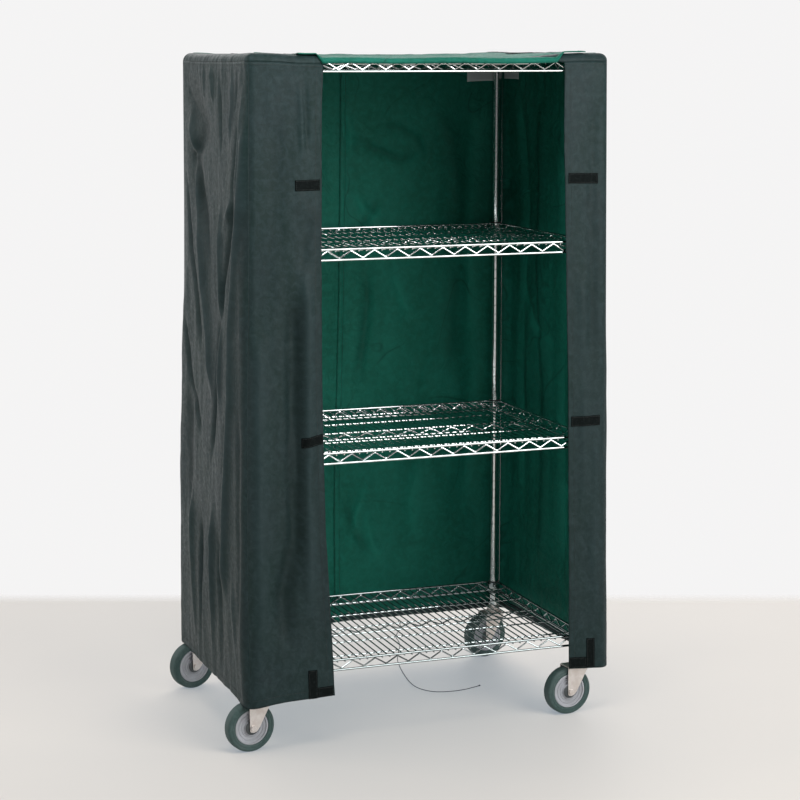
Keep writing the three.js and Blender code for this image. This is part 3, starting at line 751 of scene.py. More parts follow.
# Folds by panel: the path of (s, z) places, how far the cloth stands out along it, and its width. s runs
# along the panel from the first of its two corners in PANELS.
FOLDS = {
    "left_flap": [
        ([(0.046, 1.69), (0.041, 1.6), (0.036, 1.47)], -0.0035, 0.006),
        ([(0.058, 1.69), (0.053, 1.6), (0.048, 1.45)], 0.003, 0.007),
        ([(0.07, 1.18), (0.07, 0.98), (0.08, 0.54), (0.12, 0.4), (0.12, 0.22)], -0.0165, 0.024),
        ([(0.04, 1.25), (0.04, 0.9), (0.045, 0.54), (0.055, 0.3)], 0.01, 0.018),
        ([(0.17, 1.1), (0.17, 0.7), (0.18, 0.45), (0.19, 0.2)], 0.009, 0.026),
        ([(0.03, 1.42), (0.1, 1.36), (0.17, 1.24)], 0.003, 0.02),
        ([(0.02, 1.36), (0.04, 1.3), (0.05, 1.18)], -0.003, 0.012),
        ([(0.02, 0.76), (0.03, 0.7), (0.035, 0.58)], -0.004, 0.01),
        ([(0.13, 1.62), (0.12, 1.4), (0.13, 1.2)], -0.006, 0.03),
        ([(0.04, 0.36), (0.07, 0.35), (0.1, 0.33)], 0.0025, 0.012),
    ],
    "left_side": [
        (
            [(0.56, 1.72), (0.46, 1.6), (0.38, 1.535), (0.46, 1.47), (0.41, 1.38), (0.34, 1.24)],
            -0.011, 0.048,
        ),
        ([(0.57, 1.7), (0.46, 1.6), (0.37, 1.535)], -0.009, 0.013),
        ([(0.37, 1.55), (0.48, 1.47), (0.41, 1.38), (0.34, 1.26), (0.31, 1.16)], -0.0095, 0.014),
        ([(0.53, 1.62), (0.47, 1.47), (0.4, 1.27), (0.37, 1.13), (0.32, 1.02), (0.27, 0.84)], 0.0119, 0.014),
        ([(0.56, 1.44), (0.5, 1.23), (0.44, 1.1), (0.39, 0.95)], -0.0127, 0.013),
        ([(0.22, 1.38), (0.2, 1.03), (0.22, 0.82)], 0.011, 0.013),
        ([(0.02, 1.69), (0.035, 1.575), (0.06, 1.47), (0.11, 1.37), (0.22, 1.26)], 0.0068, 0.013),
        (
            [(0.06, 1.58), (0.13, 1.28), (0.19, 1.13), (0.21, 1.03), (0.24, 0.88), (0.29, 0.68)],
            -0.0127, 0.013,
        ),
        (
            [(0.004, 1.62), (0.032, 1.34), (0.077, 1.15), (0.1, 1.045), (0.095, 0.885), (0.14, 0.67),
             (0.16, 0.505), (0.17, 0.33)],
            0.0145, 0.016,
        ),
        ([(0.575, 1.06), (0.505, 0.88), (0.45, 0.83), (0.37, 0.72)], -0.0127, 0.013),
        ([(0.5, 0.9), (0.51, 0.7), (0.5, 0.48)], -0.011, 0.032),
        ([(0.27, 0.6), (0.285, 0.33), (0.3, 0.18), (0.31, 0.05)], 0.0136, 0.014),
        ([(0.38, 0.56), (0.41, 0.25), (0.43, 0.05)], -0.0136, 0.013),
        ([(0.11, 0.46), (0.08, 0.24), (0.07, 0.05)], 0.0093, 0.016),
        ([(0.22, 0.54), (0.21, 0.28), (0.2, 0.05)], -0.0119, 0.017),
        ([(0.045, 0.9), (0.04, 0.55), (0.05, 0.26)], -0.0068, 0.014),
        ([(0.47, 0.64), (0.48, 0.38), (0.46, 0.12)], 0.0093, 0.016),
        ([(0.13, 1.7), (0.12, 1.6), (0.15, 1.5)], 0.0068, 0.009),
        ([(0.24, 1.7), (0.23, 1.6), (0.21, 1.46)], -0.0076, 0.01),
        ([(0.33, 1.71), (0.31, 1.66), (0.3, 1.6)], 0.0068, 0.009),
        ([(0.45, 1.71), (0.45, 1.67), (0.47, 1.63)], -0.0068, 0.008),
        ([(0.08, 1.71), (0.08, 1.66), (0.1, 1.58)], -0.0051, 0.008),
    ],
    "back": [
        ([(0.477, 1.516), (0.538, 1.469), (0.625, 1.439), (0.695, 1.478)], -0.0085, 0.011),
        ([(0.528, 1.534), (0.616, 1.525), (0.664, 1.498), (0.698, 1.43)], -0.007, 0.011),
        ([(0.455, 1.6), (0.48, 1.516), (0.47, 1.43)], 0.007, 0.012),
        ([(0.49, 1.35), (0.53, 1.29), (0.59, 1.27)], 0.008, 0.012),
        ([(0.568, 1.336), (0.5, 1.25)], -0.008, 0.012),
        ([(0.72, 1.62), (0.77, 1.5), (0.8, 1.35), (0.79, 1.22)], -0.006, 0.02),
        ([(0.52, 1.18), (0.53, 1.05), (0.52, 0.93), (0.505, 0.79)], -0.009, 0.014),
        ([(0.6, 1.15), (0.64, 1.04), (0.7, 0.96)], 0.007, 0.016),
        ([(0.8, 1.18), (0.78, 1.0), (0.8, 0.82)], -0.008, 0.026),
        ([(0.56, 0.56), (0.51, 0.43), (0.49, 0.3)], 0.008, 0.012),
        ([(0.47, 0.52), (0.505, 0.39), (0.57, 0.3)], -0.008, 0.012),
        ([(0.54, 0.47), (0.56, 0.36), (0.61, 0.26)], 0.007, 0.012),
        ([(0.72, 0.64), (0.68, 0.48), (0.7, 0.3)], 0.008, 0.022),
        ([(0.2, 1.16), (0.34, 1.06), (0.42, 0.99)], 0.006, 0.016),
        ([(0.14, 1.6), (0.16, 1.2), (0.13, 0.8), (0.15, 0.4)], 0.007, 0.022),
        ([(0.3, 1.66), (0.34, 1.5), (0.4, 1.38)], 0.006, 0.016),
        ([(0.85, 1.6), (0.83, 1.2), (0.86, 0.8), (0.84, 0.4)], 0.008, 0.024),
        ([(0.1, 0.4), (0.3, 0.24), (0.42, 0.2)], 0.005, 0.016),
    ],
    "right_side": [
        ([(0.1, 1.64), (0.13, 1.3), (0.1, 0.9), (0.12, 0.4)], 0.009, 0.022),
        ([(0.24, 1.62), (0.22, 1.2), (0.26, 0.8), (0.24, 0.3)], -0.009, 0.02),
        ([(0.36, 1.6), (0.38, 1.2), (0.35, 0.8), (0.37, 0.3)], 0.01, 0.024),
        ([(0.5, 1.66), (0.48, 1.1), (0.51, 0.7), (0.5, 0.25)], -0.009, 0.022),
        ([(0.56, 1.6), (0.44, 1.44), (0.3, 1.38)], 0.008, 0.018),
        ([(0.08, 1.12), (0.2, 0.98), (0.34, 0.94)], 0.008, 0.018),
        ([(0.56, 0.7), (0.46, 0.58), (0.3, 0.52)], 0.008, 0.018),
    ],
    "right_flap": [
        ([(0.045, 1.66), (0.05, 1.3), (0.045, 0.9)], -0.004, 0.014),
        ([(0.035, 0.8), (0.045, 0.5), (0.04, 0.22)], 0.005, 0.016),
        ([(0.08, 1.2), (0.07, 0.85), (0.075, 0.5)], 0.004, 0.014),
    ],
}

# A wall panel: its first and last plan corner, the axis that it faces along (0 for X, 1 for Y) and which
# way, how many columns of points it has, its random seed, and how far its cloth wavers, gathers at the
# top and bellies out.
Panel = namedtuple("Panel", "first last axis side columns seed slack gather belly")
PANELS = {
    "left_flap": Panel("door_left", "front_left", 1, -1, 60, 3.1, 0.003, 0.0010, 0.004),
    "left_side": Panel("front_left", "rear_left", 0, -1, 150, 11.7, 0.004, 0.0045, 0.009),
    "back": Panel("rear_left", "rear_right", 1, 1, 190, 23.3, 0.006, 0.0020, 0.004),
    "right_side": Panel("rear_right", "front_right", 0, 1, 130, 37.9, 0.006, 0.0050, 0.010),
    "right_flap": Panel("front_right", "door_right", 1, -1, 40, 51.4, 0.003, 0.0010, 0.003),
}
SEAM = 0.452  # the back's centre seam, along the panel from the rear left corner
SEAM_HALF = 0.0085
DOOR_EDGE = 1.7120  # the roof's edge over the doorway, hidden behind the front panel's lip
DOOR_TOP = (-0.283, 0.374)  # the doorway's ends at the roof
WALL_TOP = ROOF - ROLL  # walls stand up to here, and the roof's rolled edge takes over
LEVELS = np.linspace(HEM, WALL_TOP, 260)  # heights of a wall's rows of points
HELD = 0.035  # the cloth lies still this near to a corner seam
CLEARANCE = 0.0006  # from the shelves to the cloth's inside


def folds_on(panel, s, z):
    """How far the panel's folds alone stand out; they die away towards the hem."""
    calm = 0.1 + 0.9 * smooth_step((z - HEM) / 0.32)
    out = np.zeros_like(s)
    for path, height, spread in FOLDS[panel]:
        out += fold(s, z, path, height, spread) * calm
    return out


def relief(panel, s, z):
    """How far the panel stands out from its plan line, folds apart."""
    cloth = PANELS[panel]
    loose = smooth_step((1.70 - z) / 0.5)
    out = cloth.slack * (0.35 + 0.65 * loose) * ripple(s, z * 0.22, 7.0, cloth.seed)
    out += 0.0012 * ripple(s, z * 0.45, 22.0, cloth.seed + 9.5)
    out += cloth.belly * smooth_step((1.70 - z) / 0.40)
    gathers = ripple(s, z * 0.10, 30.0, cloth.seed + 4.2, 2) * smooth_step((z - 1.58) / 0.12)
    return out + cloth.gather * gathers


def corner_distances(panel, s, length):
    """For each end with a corner seam: distance from it, which way the corner turns, if it is the last."""
    distances = []
    if "door" not in PANELS[panel].first:
        distances.append((s, 1.0, False))
    if "door" not in PANELS[panel].last:
        distances.append((length[:, None] - s, -1.0, True))
    return distances


def wall_points(panel):
    """The panel's outside in plan, rows by columns: places, outward directions, distance along, lengths."""
    start, end = corner_at(PANELS[panel].first, LEVELS), corner_at(PANELS[panel].last, LEVELS)
    t = np.linspace(0, 1, PANELS[panel].columns)
    length = np.linalg.norm(end - start, axis=1)
    plan = start[:, None, :] * (1 - t[None, :, None]) + end[:, None, :] * t[None, :, None]
    along = (end - start) / length[:, None]
    outward = np.stack([-along[:, 1], along[:, 0]], axis=-1)
    s = t[None, :] * length[:, None]
    normal = np.repeat(outward[:, None, :], len(t), axis=1)
    # Round the upright corners: each panel turns through half of the quarter circle, up to the seam.
    for distance, turn, _ in corner_distances(panel, s, length):
        near = np.clip(1 - distance / CORNER_ROLL, 0, 1)
        angle = near * math.pi / 4
        inward = CORNER_ROLL * (1 - np.cos(angle))
        shift = CORNER_ROLL * (near - np.sin(angle)) * turn
        plan = plan - normal * inward[..., None] + along[:, None, :] * shift[..., None]
        cos, sin = np.cos(angle * turn), np.sin(angle * turn)
        x, y = normal[..., 0], normal[..., 1]
        normal = np.stack([x * cos - y * sin, x * sin + y * cos], axis=-1)
    return plan, normal, s, length


def make_cloth(name, outer, inner, texture, materials, nodes=(), slot="cover_cloth"):
    """A thin cloth from two grids of points, closed round its edge, with a material for each face of it.

    Its texture place is stored as metres along the cloth."""
    rows, columns = outer.shape[:2]
    count = rows * columns
    grid = np.arange(count).reshape(rows, columns)
    a, b, c, d = grid[:-1, :-1], grid[:-1, 1:], grid[1:, 1:], grid[1:, :-1]
    front = np.stack([a, d, c, b], axis=-1).reshape(-1, 4)
    back = front[:, ::-1] + count
    rim = np.concatenate([grid[0, :], grid[1:, -1], grid[-1, -2::-1], grid[-2:0:-1, 0]])
    after = np.roll(rim, -1)
    edge = np.stack([rim, after, after + count, rim + count], axis=-1)
    points = np.concatenate([outer.reshape(-1, 3), inner.reshape(-1, 3)]) + np.array(MIDDLE)
    faces = np.concatenate([front, back, edge])
    piece = add_piece(name, points.tolist(), faces.tolist(), materials, "cart", slot, nodes)
    mesh = piece.data
    last = len(materials) - 1
    mesh.polygons.foreach_set("material_index", [0] * len(front) + [last] * len(back) + [0] * len(edge))
    corners = np.zeros(len(mesh.loops), np.int32)
    mesh.loops.foreach_get("vertex_index", corners)
    places = np.concatenate([texture.reshape(-1, 2)] * 2)[corners]
    mesh.uv_layers.new(name="cloth").data.foreach_set("uv", places.astype(np.float32).ravel())
    return piece


def grid_normals(points):
    """Unit normals of a grid of points, rows by columns."""
    down = np.gradient(points, axis=0)
    across = np.gradient(points, axis=1)
    normal = np.cross(across, down)
    return normal / np.maximum(np.linalg.norm(normal, axis=-1, keepdims=True), 1e-12)


def roof_height(x, y):
    """The roof is held up by the post caps and hangs slack between them, least over the shelf's rims."""
    lift = np.zeros(np.broadcast(x, y).shape)
    for sx, sy in CORNERS.values():
        away = np.maximum(np.hypot(x - sx * POST_X, y - sy * POST_Y) - POST_RADIUS, 0)
        lift = np.maximum(lift, np.exp(-((away / 0.075) ** 1.5)))
    taut = 0.8 * smooth_step((np.abs(x) - 0.24) / 0.18)
    doorway = smooth_step((x - DOOR_TOP[0]) / 0.03) * smooth_step((DOOR_TOP[1] - x) / 0.03) * (y < 0)
    taut = np.maximum(taut, 0.5 * smooth_step((np.abs(y) - 0.24) / 0.05) * (1 - doorway))
    return ROOF - ROOF_SLACK * (1 - lift) * (1 - taut)


def wall(panel):
    """A panel as outside and inside grids, texture places, outward directions, its lengths and its folds."""
    plan, normal, s, length = wall_points(panel)
    z = np.repeat(LEVELS[:, None], s.shape[1], axis=1)
    folded = folds_on(panel, s, z)
    out = relief(panel, s, z) + folded
    # Nothing moves at the seams, where the next panel starts.
    hold = 0.35 + 0.65 * smooth_step((WALL_TOP - z) / 0.04)
    from_seam = np.full_like(s, 1.0)
    for distance, _, at_last in corner_distances(panel, s, length):
        reach = HELD + (0.075 * smooth_step((z - 0.9) / 0.4) if at_last else 0)
        hold = hold * smooth_step(distance / reach)
        from_seam = np.minimum(from_seam, distance)
    plan = plan + normal * (out * hold)[..., None]
    # The roof's slack pulls the top edge down between the posts, and the hem droops at the front corners.
    x, y = plan[..., 0], plan[..., 1]
    slack = (ROOF - roof_height(x, y)) * smooth_step((z - 1.45) / 0.26)
    from_corner = np.hypot(np.abs(x) - POST_X - 0.06, y + POST_Y + 0.05)
    droop = HEM_DROOP * np.where(x < 0, 1.0, 0.4) * np.exp(-((from_corner / 0.07) ** 2))
    droop = droop * smooth_step((0.5 - z) / 0.3)
    points = np.concatenate([plan, (z - slack - droop)[..., None]], axis=-1)
    # The cloth can't pass through the shelves, but it may sink in a little between them and at the seams.
    from_shelf = np.min([np.abs(z - level + RIM_DROP / 2) for level in SHELF_LEVELS.values()], axis=0)
    sink = 0.007 * smooth_step((from_shelf - 0.03) / 0.10) + 0.014 * (1 - smooth_step(from_seam / HELD))
    axis, side = PANELS[panel].axis, PANELS[panel].side
    clear = (SHELF_WIDTH, SHELF_DEPTH)[axis] / 2 + CLEARANCE + CLOTH - sink
    points[..., axis] = side * np.maximum(side * points[..., axis], clear)
    facing = grid_normals(points)
    if np.sum(facing[..., :2] * normal) < 0:
        facing = -facing
    return points, points - facing * CLOTH, np.stack([s, z], axis=-1), facing, length, folded * hold


WALLS = {}
SHEETS = {}
for panel in PANELS:
    outer, inner, texture, facing, length, folded = wall(panel)
    WALLS[panel] = {"outer": outer, "inner": inner, "facing": facing, "length": length, "levels": LEVELS}
    cloth = make_cloth(f"cloth_{panel}", outer, inner, texture, (OUTSIDE, INSIDE), [f"cover_{panel}"])
    # The fold height is stored for the cloth's painted highlight on ridges and painted shade in valleys.
    layer = cloth.data.attributes.new("folded", "FLOAT", "POINT")
    layer.data.foreach_set("value", np.tile(folded.ravel(), 2).astype(np.float32))
    SHEETS[panel] = cloth


def roof_loop():
    """The walls' top edge all the way round, closed across the doorway, with outward directions."""
    places, outward = [], []
    for sheet in WALLS.values():
        places.append(sheet["outer"][-1][:-1])
        outward.append(sheet["facing"][-1][:-1] * np.array([1, 1, 0]))
    right, left = WALLS["right_flap"]["outer"][-1][-1], WALLS["left_flap"]["outer"][-1][0]
    t = np.linspace(0, 1, 150, endpoint=False)[:, None]
    over_door = right * (1 - t) + left * t
    ease = smooth_step(np.minimum(t, 1 - t)[:, 0] / 0.05)
    over_door[:, 2] += (DOOR_EDGE - over_door[:, 2]) * ease
    places.append(over_door)
    outward.append(np.repeat([[0.0, -1.0, 0.0]], len(t), axis=0))
    places, outward = np.concatenate(places), np.concatenate(outward)
    for _ in range(3):
        outward = outward + np.roll(outward, 1, axis=0) + np.roll(outward, -1, axis=0)
        outward = outward / np.linalg.norm(outward, axis=1, keepdims=True)
    return places, outward


ROLL_TURNS = np.radians(np.linspace(0, 90, 9))  # round the roof's rolled edge, from the walls to the top
ON_TOP = 20  # a row of points that lies on top of the cart, in the roof and in the front panel


def facing_up(points):
    """Unit normals of a grid of points, turned so that they point up on top of the cart."""
    facing = grid_normals(points)
    return facing if facing[ON_TOP, :, 2].mean() > 0 else -facing


def roof_shape():
    """One cloth: its edge rolls over from the walls, and its middle lies slack over the top shelf."""
    places, outward = roof_loop()
    # The sides are gathered where they turn over.
    pleats = ripple(places[:, 0] * 0.3, places[:, 1], 34.0, 4.2, 2)
    pleats = pleats * (0.0008 + 0.0028 * smooth_step(np.abs(outward[:, 0])))
    rings = []
    for turn in ROLL_TURNS:
        inward = ROLL * (1 - math.cos(turn)) - pleats * math.sin(2 * turn)
        plan = places - outward * inward[:, None]
        top = roof_height(plan[:, 0], plan[:, 1])
        z = places[:, 2] + (top - places[:, 2]) * math.sin(turn)
        rings.append(np.column_stack([plan[:, :2], z]))
    # From there each ring is smaller than the last, down to a line along the middle.
    border = rings[-1][:, :2]
    spine = np.column_stack([np.clip(border[:, 0], -0.16, 0.16), np.zeros(len(border))])
    for t in np.linspace(0, 1, 40)[1:]:
        plan = border * (1 - t) + spine * t
        z = roof_height(plan[:, 0], plan[:, 1])
        z = z + 0.0018 * ripple(plan[:, 0], plan[:, 1], 9.0, 71.3) * min(1.0, 6 * t)
        rings.append(np.column_stack([plan, z]))
    outer = np.stack(rings)
    outer = np.concatenate([outer, outer[:, :1]], axis=1)
    facing = facing_up(outer)
    facing[-1] = facing[-2]
    sideways = np.concatenate([outward, outward[:1]])
    for i, turn in enumerate(ROLL_TURNS):
        facing[i] = sideways * math.cos(turn) + np.array([0, 0, math.sin(turn)])
    return outer, outer - facing * CLOTH, outer[..., :2]


ROOF_CLOTH = make_cloth("cloth_roof", *roof_shape(), (OUTSIDE, INSIDE), ["cover_roof"])

PANEL_LEFT, PANEL_RIGHT = -0.328, 0.430  # the thrown-back front panel's edges, across the cart
PANEL_TAIL = 0.765  # height of its free hem, behind the cart
ON_ROOF = 0.0026  # from the roof's outside to the panel's
BACK_EDGE = 0.285  # where the panel leaves the roof's top
LIP_FOOT = 1.7100  # height of the panel's seam, where panel_path starts
LIP_REAR = -0.29  # the lip's points all lie in front of this
LIP_BOTTOM = 1.7052  # the lip's lower edge across the doorway
LIP_HANGS = 0.6  # the lip's height there, as a share of its height in panel_path
LIP_LINE = -0.300  # beyond the doorway the lip is drawn in towards this line, and lies flat
LIP_FLAT = 0.12  # the lip's height there, as a share of its height in panel_path


def panel_path():
    """Points (y, z) along the thrown-back front panel, from its seam over the doorway to its free hem.

    A height of None lies on the roof, and one below zero is measured down from the roof's back edge."""
    lip = [(-0.3090, LIP_FOOT), (-0.3135, 1.7098), (-0.3172, 1.7125), (-0.3188, 1.7185)]
    lip += [(-0.3180, 1.7255), (-0.3140, 1.7315), (-0.3070, 1.7345), (-0.2950, 1.7350)]
    top = [(y, None) for y in np.linspace(-0.27, BACK_EDGE, 38)]
    over = [(0.300, -0.0004), (0.3120, -0.0030), (0.3205, -0.0095), (0.3250, -0.0200), (0.3262, -0.0330)]
    down = [(0.3266 + 0.004 * (1.69 - z), z) for z in np.linspace(1.685, PANEL_TAIL, 120)]
    return lip + top + over + down


def front_panel_shape():
    """The thrown-back panel as outside and inside grids, texture places, outward directions and distances."""
    x = np.linspace(PANEL_LEFT, PANEL_RIGHT, 120)
    rows = []
    for y, z in panel_path():
        if z is None:
            z = roof_height(x, y) + ON_ROOF
        elif z < 0:
            z = roof_height(x, BACK_EDGE) + ON_ROOF + z
        rows.append(np.column_stack([x, np.full(len(x), y), np.broadcast_to(z, len(x))]))
    outer = np.stack(rows)
    # The lip hangs down only across the doorway; beyond its ends the panel lies flat on the roof.
    across_door = smooth_step((x - DOOR_TOP[0]) / 0.012) * smooth_step((DOOR_TOP[1] - x) / 0.030)
    y, z = outer[..., 1], outer[..., 2]
    lip = y < LIP_REAR
    raised = roof_height(x, -0.297) + 0.0022 + (z - LIP_FOOT) * LIP_FLAT
    hanging = LIP_BOTTOM + (z - LIP_FOOT) * LIP_HANGS
    outer[..., 2] = np.where(lip, raised + (hanging - raised) * across_door, z)
    outer[..., 2] += 0.0010 * np.sin(23.0 * x) * lip
    outer[..., 1] = np.where(lip, LIP_LINE + (y - LIP_LINE) * (0.25 + 0.75 * across_door), y)
    step = np.linalg.norm(np.diff(outer[:, len(x) // 2], axis=0), axis=1)
    along = np.concatenate([[0], np.cumsum(step)])
    texture = np.stack(np.meshgrid(x, along), axis=-1)
    facing = facing_up(outer)
    # It waves where it hangs behind the cart, and lifts a little where it lies on the roof.
    behind = smooth_step((1.70 - outer[..., 2]) / 0.5) * (outer[..., 1] > 0.3)
    lying = smooth_step((outer[..., 1] + 0.30) / 0.08) * (outer[..., 2] > 1.71)
    wave = ripple(texture[..., 0], texture[..., 1] * 0.2, 9.0, 83.9) + 0.6
    lift = ripple(texture[..., 0], texture[..., 1], 11.0, 91.2) + 0.2
    out = 0.007 * behind * np.maximum(wave, 0) + 0.0022 * lying * np.maximum(lift, 0)
    outer = outer + facing * out[..., None]
    return outer, outer - facing * CLOTH, texture, facing, along


outer, inner, texture, facing, along = front_panel_shape()
panel_length = float(along[-1])
panel_width = PANEL_RIGHT - PANEL_LEFT
FRONT_PANEL = make_cloth(
    "cloth_front_panel", outer, inner, texture, (INSIDE, OUTSIDE), ["cover_front_panel"]
)
WALLS["front_panel"] = {
    "outer": outer,
    "inner": inner,
    "facing": facing,
    "length": np.full(len(along), panel_width),
    "levels": along,
}


# ---- Sewn details --------------------------------------------------------------------------

HEM_BAND = 0.022  # width of a turned hem
EDGE_BAND = 0.016  # width of the hems beside the doorway and down the front panel
THREAD_INSET = 0.003  # from a cloth's edge to the row of stitches beside it
PAD_WIDTH, PAD_HEIGHT = 0.070, 0.026  # a hook-tape pad on the front panel
TAPE_THICK = 0.0016
BAND_THICK = 0.0008  # of a hem's turned cloth
SEAM_THICK = 0.0018
STITCH, STITCH_GAP = 0.0034, 0.0014
THREAD_RADIUS = 0.00035


def on_wall(panel, s, z, lift, side="outer"):
    """Places on a wall's outside or inside face, lifted off it; s is measured along the wall in metres."""
    wall_data = WALLS[panel]
    grid, facing = wall_data[side], wall_data["facing"]
    if side == "inner":
        facing = -facing
    rows, columns = grid.shape[:2]
    i = np.clip(np.interp(z, wall_data["levels"], np.arange(rows)), 0, rows - 1.001)
    length = np.interp(i, np.arange(rows), wall_data["length"])
    j = np.clip(s / length * (columns - 1), 0, columns - 1.001)
    low_i, low_j = i.astype(int), j.astype(int)
    fi, fj = (i - low_i)[..., None], (j - low_j)[..., None]

    def mixed(values):
        a = values[low_i, low_j] * (1 - fj) + values[low_i, low_j + 1] * fj
        b = values[low_i + 1, low_j] * (1 - fj) + values[low_i + 1, low_j + 1] * fj
        return a * (1 - fi) + b * fi

    return mixed(grid) + mixed(facing) * lift


def wall_length(panel, z):
    return float(np.interp(z, WALLS[panel]["levels"], WALLS[panel]["length"]))


def rectangle(s_low, s_high, z_low, z_high):
    """Four (s, z) corners in order round the edge."""
    return [(s_low, z_low), (s_high, z_low), (s_high, z_high), (s_low, z_high)]


def sewn_cloth(name, panel, corners, material, slot, thick, side="outer", across=24, up=8, nodes=()):
    """A thin strip sewn flat on a wall, between four (s, z) corners given round its edge."""
    u, v = np.meshgrid(np.linspace(0, 1, across), np.linspace(0, 1, up))
    weights = [(1 - u) * (1 - v), u * (1 - v), u * v, (1 - u) * v]
    place = sum(weight[..., None] * np.array(corner) for weight, corner in zip(weights, corners))
    s, z = place[..., 0], place[..., 1]
    over, under = on_wall(panel, s, z, thick, side), on_wall(panel, s, z, 0.0001, side)
    make_cloth(name, over, under, place, [material], nodes, slot)


def stitches(shape, panel, start, end, side="outer", lift=0.0001):
    """A row of thread stitches between two (s, z) places on a wall, each standing up in its middle."""
    start, end = np.array(start), np.array(end)
    run = np.linalg.norm(end - start)
    begin = np.arange(int(run / (STITCH + STITCH_GAP))) * (STITCH + STITCH_GAP)
    marks = np.stack([begin, begin + STITCH / 2, begin + STITCH], axis=1)
    place = start + (end - start) * (marks / run)[..., None]
    points = on_wall(panel, place[..., 0], place[..., 1], lift, side)
    points[:, 1] = on_wall(panel, place[:, 1, 0], place[:, 1, 1], lift + 0.0003, side)
    for stitch_points in points:
        tube(shape, stitch_points, THREAD_RADIUS, 5)


def stitch_upright_edges(thread, panel):
    """Stitches down a flap's doorway hem, or down both sides of the back's centre seam."""
    foot, head = HEM + THREAD_INSET, WALL_TOP - 0.01
    if panel == "left_flap":
        for inset in (THREAD_INSET, EDGE_BAND):
            stitches(thread, panel, (inset, foot), (inset, head))
    if panel == "right_flap":
        wide_foot, wide_head = wall_length(panel, HEM), wall_length(panel, head)
        for inset in (THREAD_INSET, EDGE_BAND):
            stitches(thread, panel, (wide_foot - inset, foot), (wide_head - inset, head))
    if panel == "back":
        for s in (SEAM - 0.0065, SEAM + 0.0065):
            for side in ("outer", "inner"):
                stitches(thread, panel, (s, foot), (s, head), side, SEAM_THICK)


for panel in PANELS:
    wide = wall_length(panel, HEM)
    band = rectangle(0.001, wide - 0.001, HEM + 0.0005, HEM + HEM_BAND)
    sewn_cloth(f"hem_band_{panel}", panel, band, OUTSIDE, "cover_cloth", BAND_THICK, "inner", 90, 4)
    thread = Shape()
    row = HEM + HEM_BAND - THREAD_INSET
    stitches(thread, panel, (THREAD_INSET, row), (wide - THREAD_INSET, row))
    row = WALL_TOP - 0.006
    stitches(thread, panel, (THREAD_INSET, row), (wall_length(panel, row) - THREAD_INSET, row))
    stitch_upright_edges(thread, panel)
    make(f"stitching_{panel}", thread, THREAD, "cart", "cord_twine")

seam = rectangle(SEAM - SEAM_HALF, SEAM + SEAM_HALF, HEM + 0.001, WALL_TOP - 0.002)
for side, material in (("outer", OUTSIDE), ("inner", INSIDE)):
    sewn_cloth(f"centre_seam_{side}", "back", seam, material, "cover_cloth", SEAM_THICK, side, 4, 200)
bottom, top = wall_length("right_flap", HEM), wall_length("right_flap", WALL_TOP)
door_edges = {
    "left_flap": rectangle(0.0005, EDGE_BAND, HEM + 0.001, WALL_TOP),
    "right_flap": [
        (bottom - EDGE_BAND, HEM + 0.001), (bottom - 0.0005, HEM + 0.001),
        (top - 0.0005, WALL_TOP), (top - EDGE_BAND, WALL_TOP),
    ],
}
for panel, ends in door_edges.items():
    sewn_cloth(f"door_edge_{panel}", panel, ends, OUTSIDE, "cover_cloth", BAND_THICK, "inner", 4, 200)


def sewn_strip(name, panel, corners, material, slot, thick=BAND_THICK, across=24, up=8, nodes=()):
    """A strip sewn flat on a panel, with a row of stitches just inside its edge."""
    piece_name = f"{name}_tape" if nodes else name
    sewn_cloth(piece_name, panel, corners, material, slot, thick, "outer", across, up, nodes)
    corners = np.array(corners)
    inside = corners + np.sign(corners.mean(axis=0) - corners) * 0.0025
    thread = Shape()
    for start, end in zip(inside, np.roll(inside, -1, axis=0)):
        stitches(thread, panel, start, end, "outer", thick)
    make(f"{name}_stitching", thread, THREAD, "cart", "cord_twine")


# Hook tape on the flaps: panel, x of the left and right end, how tall it is, z of the left and right end.
TAPES = {
    "hook_tab_left_upper": ("left_flap", -0.343, -0.280, 0.026, 1.4140, 1.4150),
    "hook_tab_left_lower": ("left_flap", -0.331, -0.277, 0.025, 0.7810, 0.7890),
    "hook_tab_right_upper": ("right_flap", 0.383, 0.466, 0.026, 1.4180, 1.4160),
    "hook_tab_right_lower": ("right_flap", 0.398, 0.480, 0.026, 0.7910, 0.7910),
    "hook_strip_left_upright": ("left_flap", -0.325, -0.301, 0.080, 0.1640, 0.1640),
    "hook_strip_left_level": ("left_flap", -0.3005, -0.2565, 0.025, 0.1450, 0.1450),
    "hook_strip_right_upright": ("right_flap", 0.447, 0.470, 0.078, 0.1735, 0.1735),
    "hook_strip_right_level": ("right_flap", 0.399, 0.4465, 0.028, 0.1485, 0.1485),
}


def flap_place(panel, x, z):
    """(s, z) on a flap from a place across the cart."""
    return float(corner_at(PANELS[panel].first, z)[0]) - x, z


for name, (panel, left, right, tall, z_left, z_right) in TAPES.items():
    half = tall / 2
    corners = [(right, z_right - half), (left, z_left - half), (left, z_left + half), (right, z_right + half)]
    corners = [flap_place(panel, x, z) for x, z in corners]
    nodes = [name] if name.startswith("hook_tab") else []
    sewn_strip(name, panel, corners, TAPE, "hook_tape", TAPE_THICK, up=12, nodes=nodes)

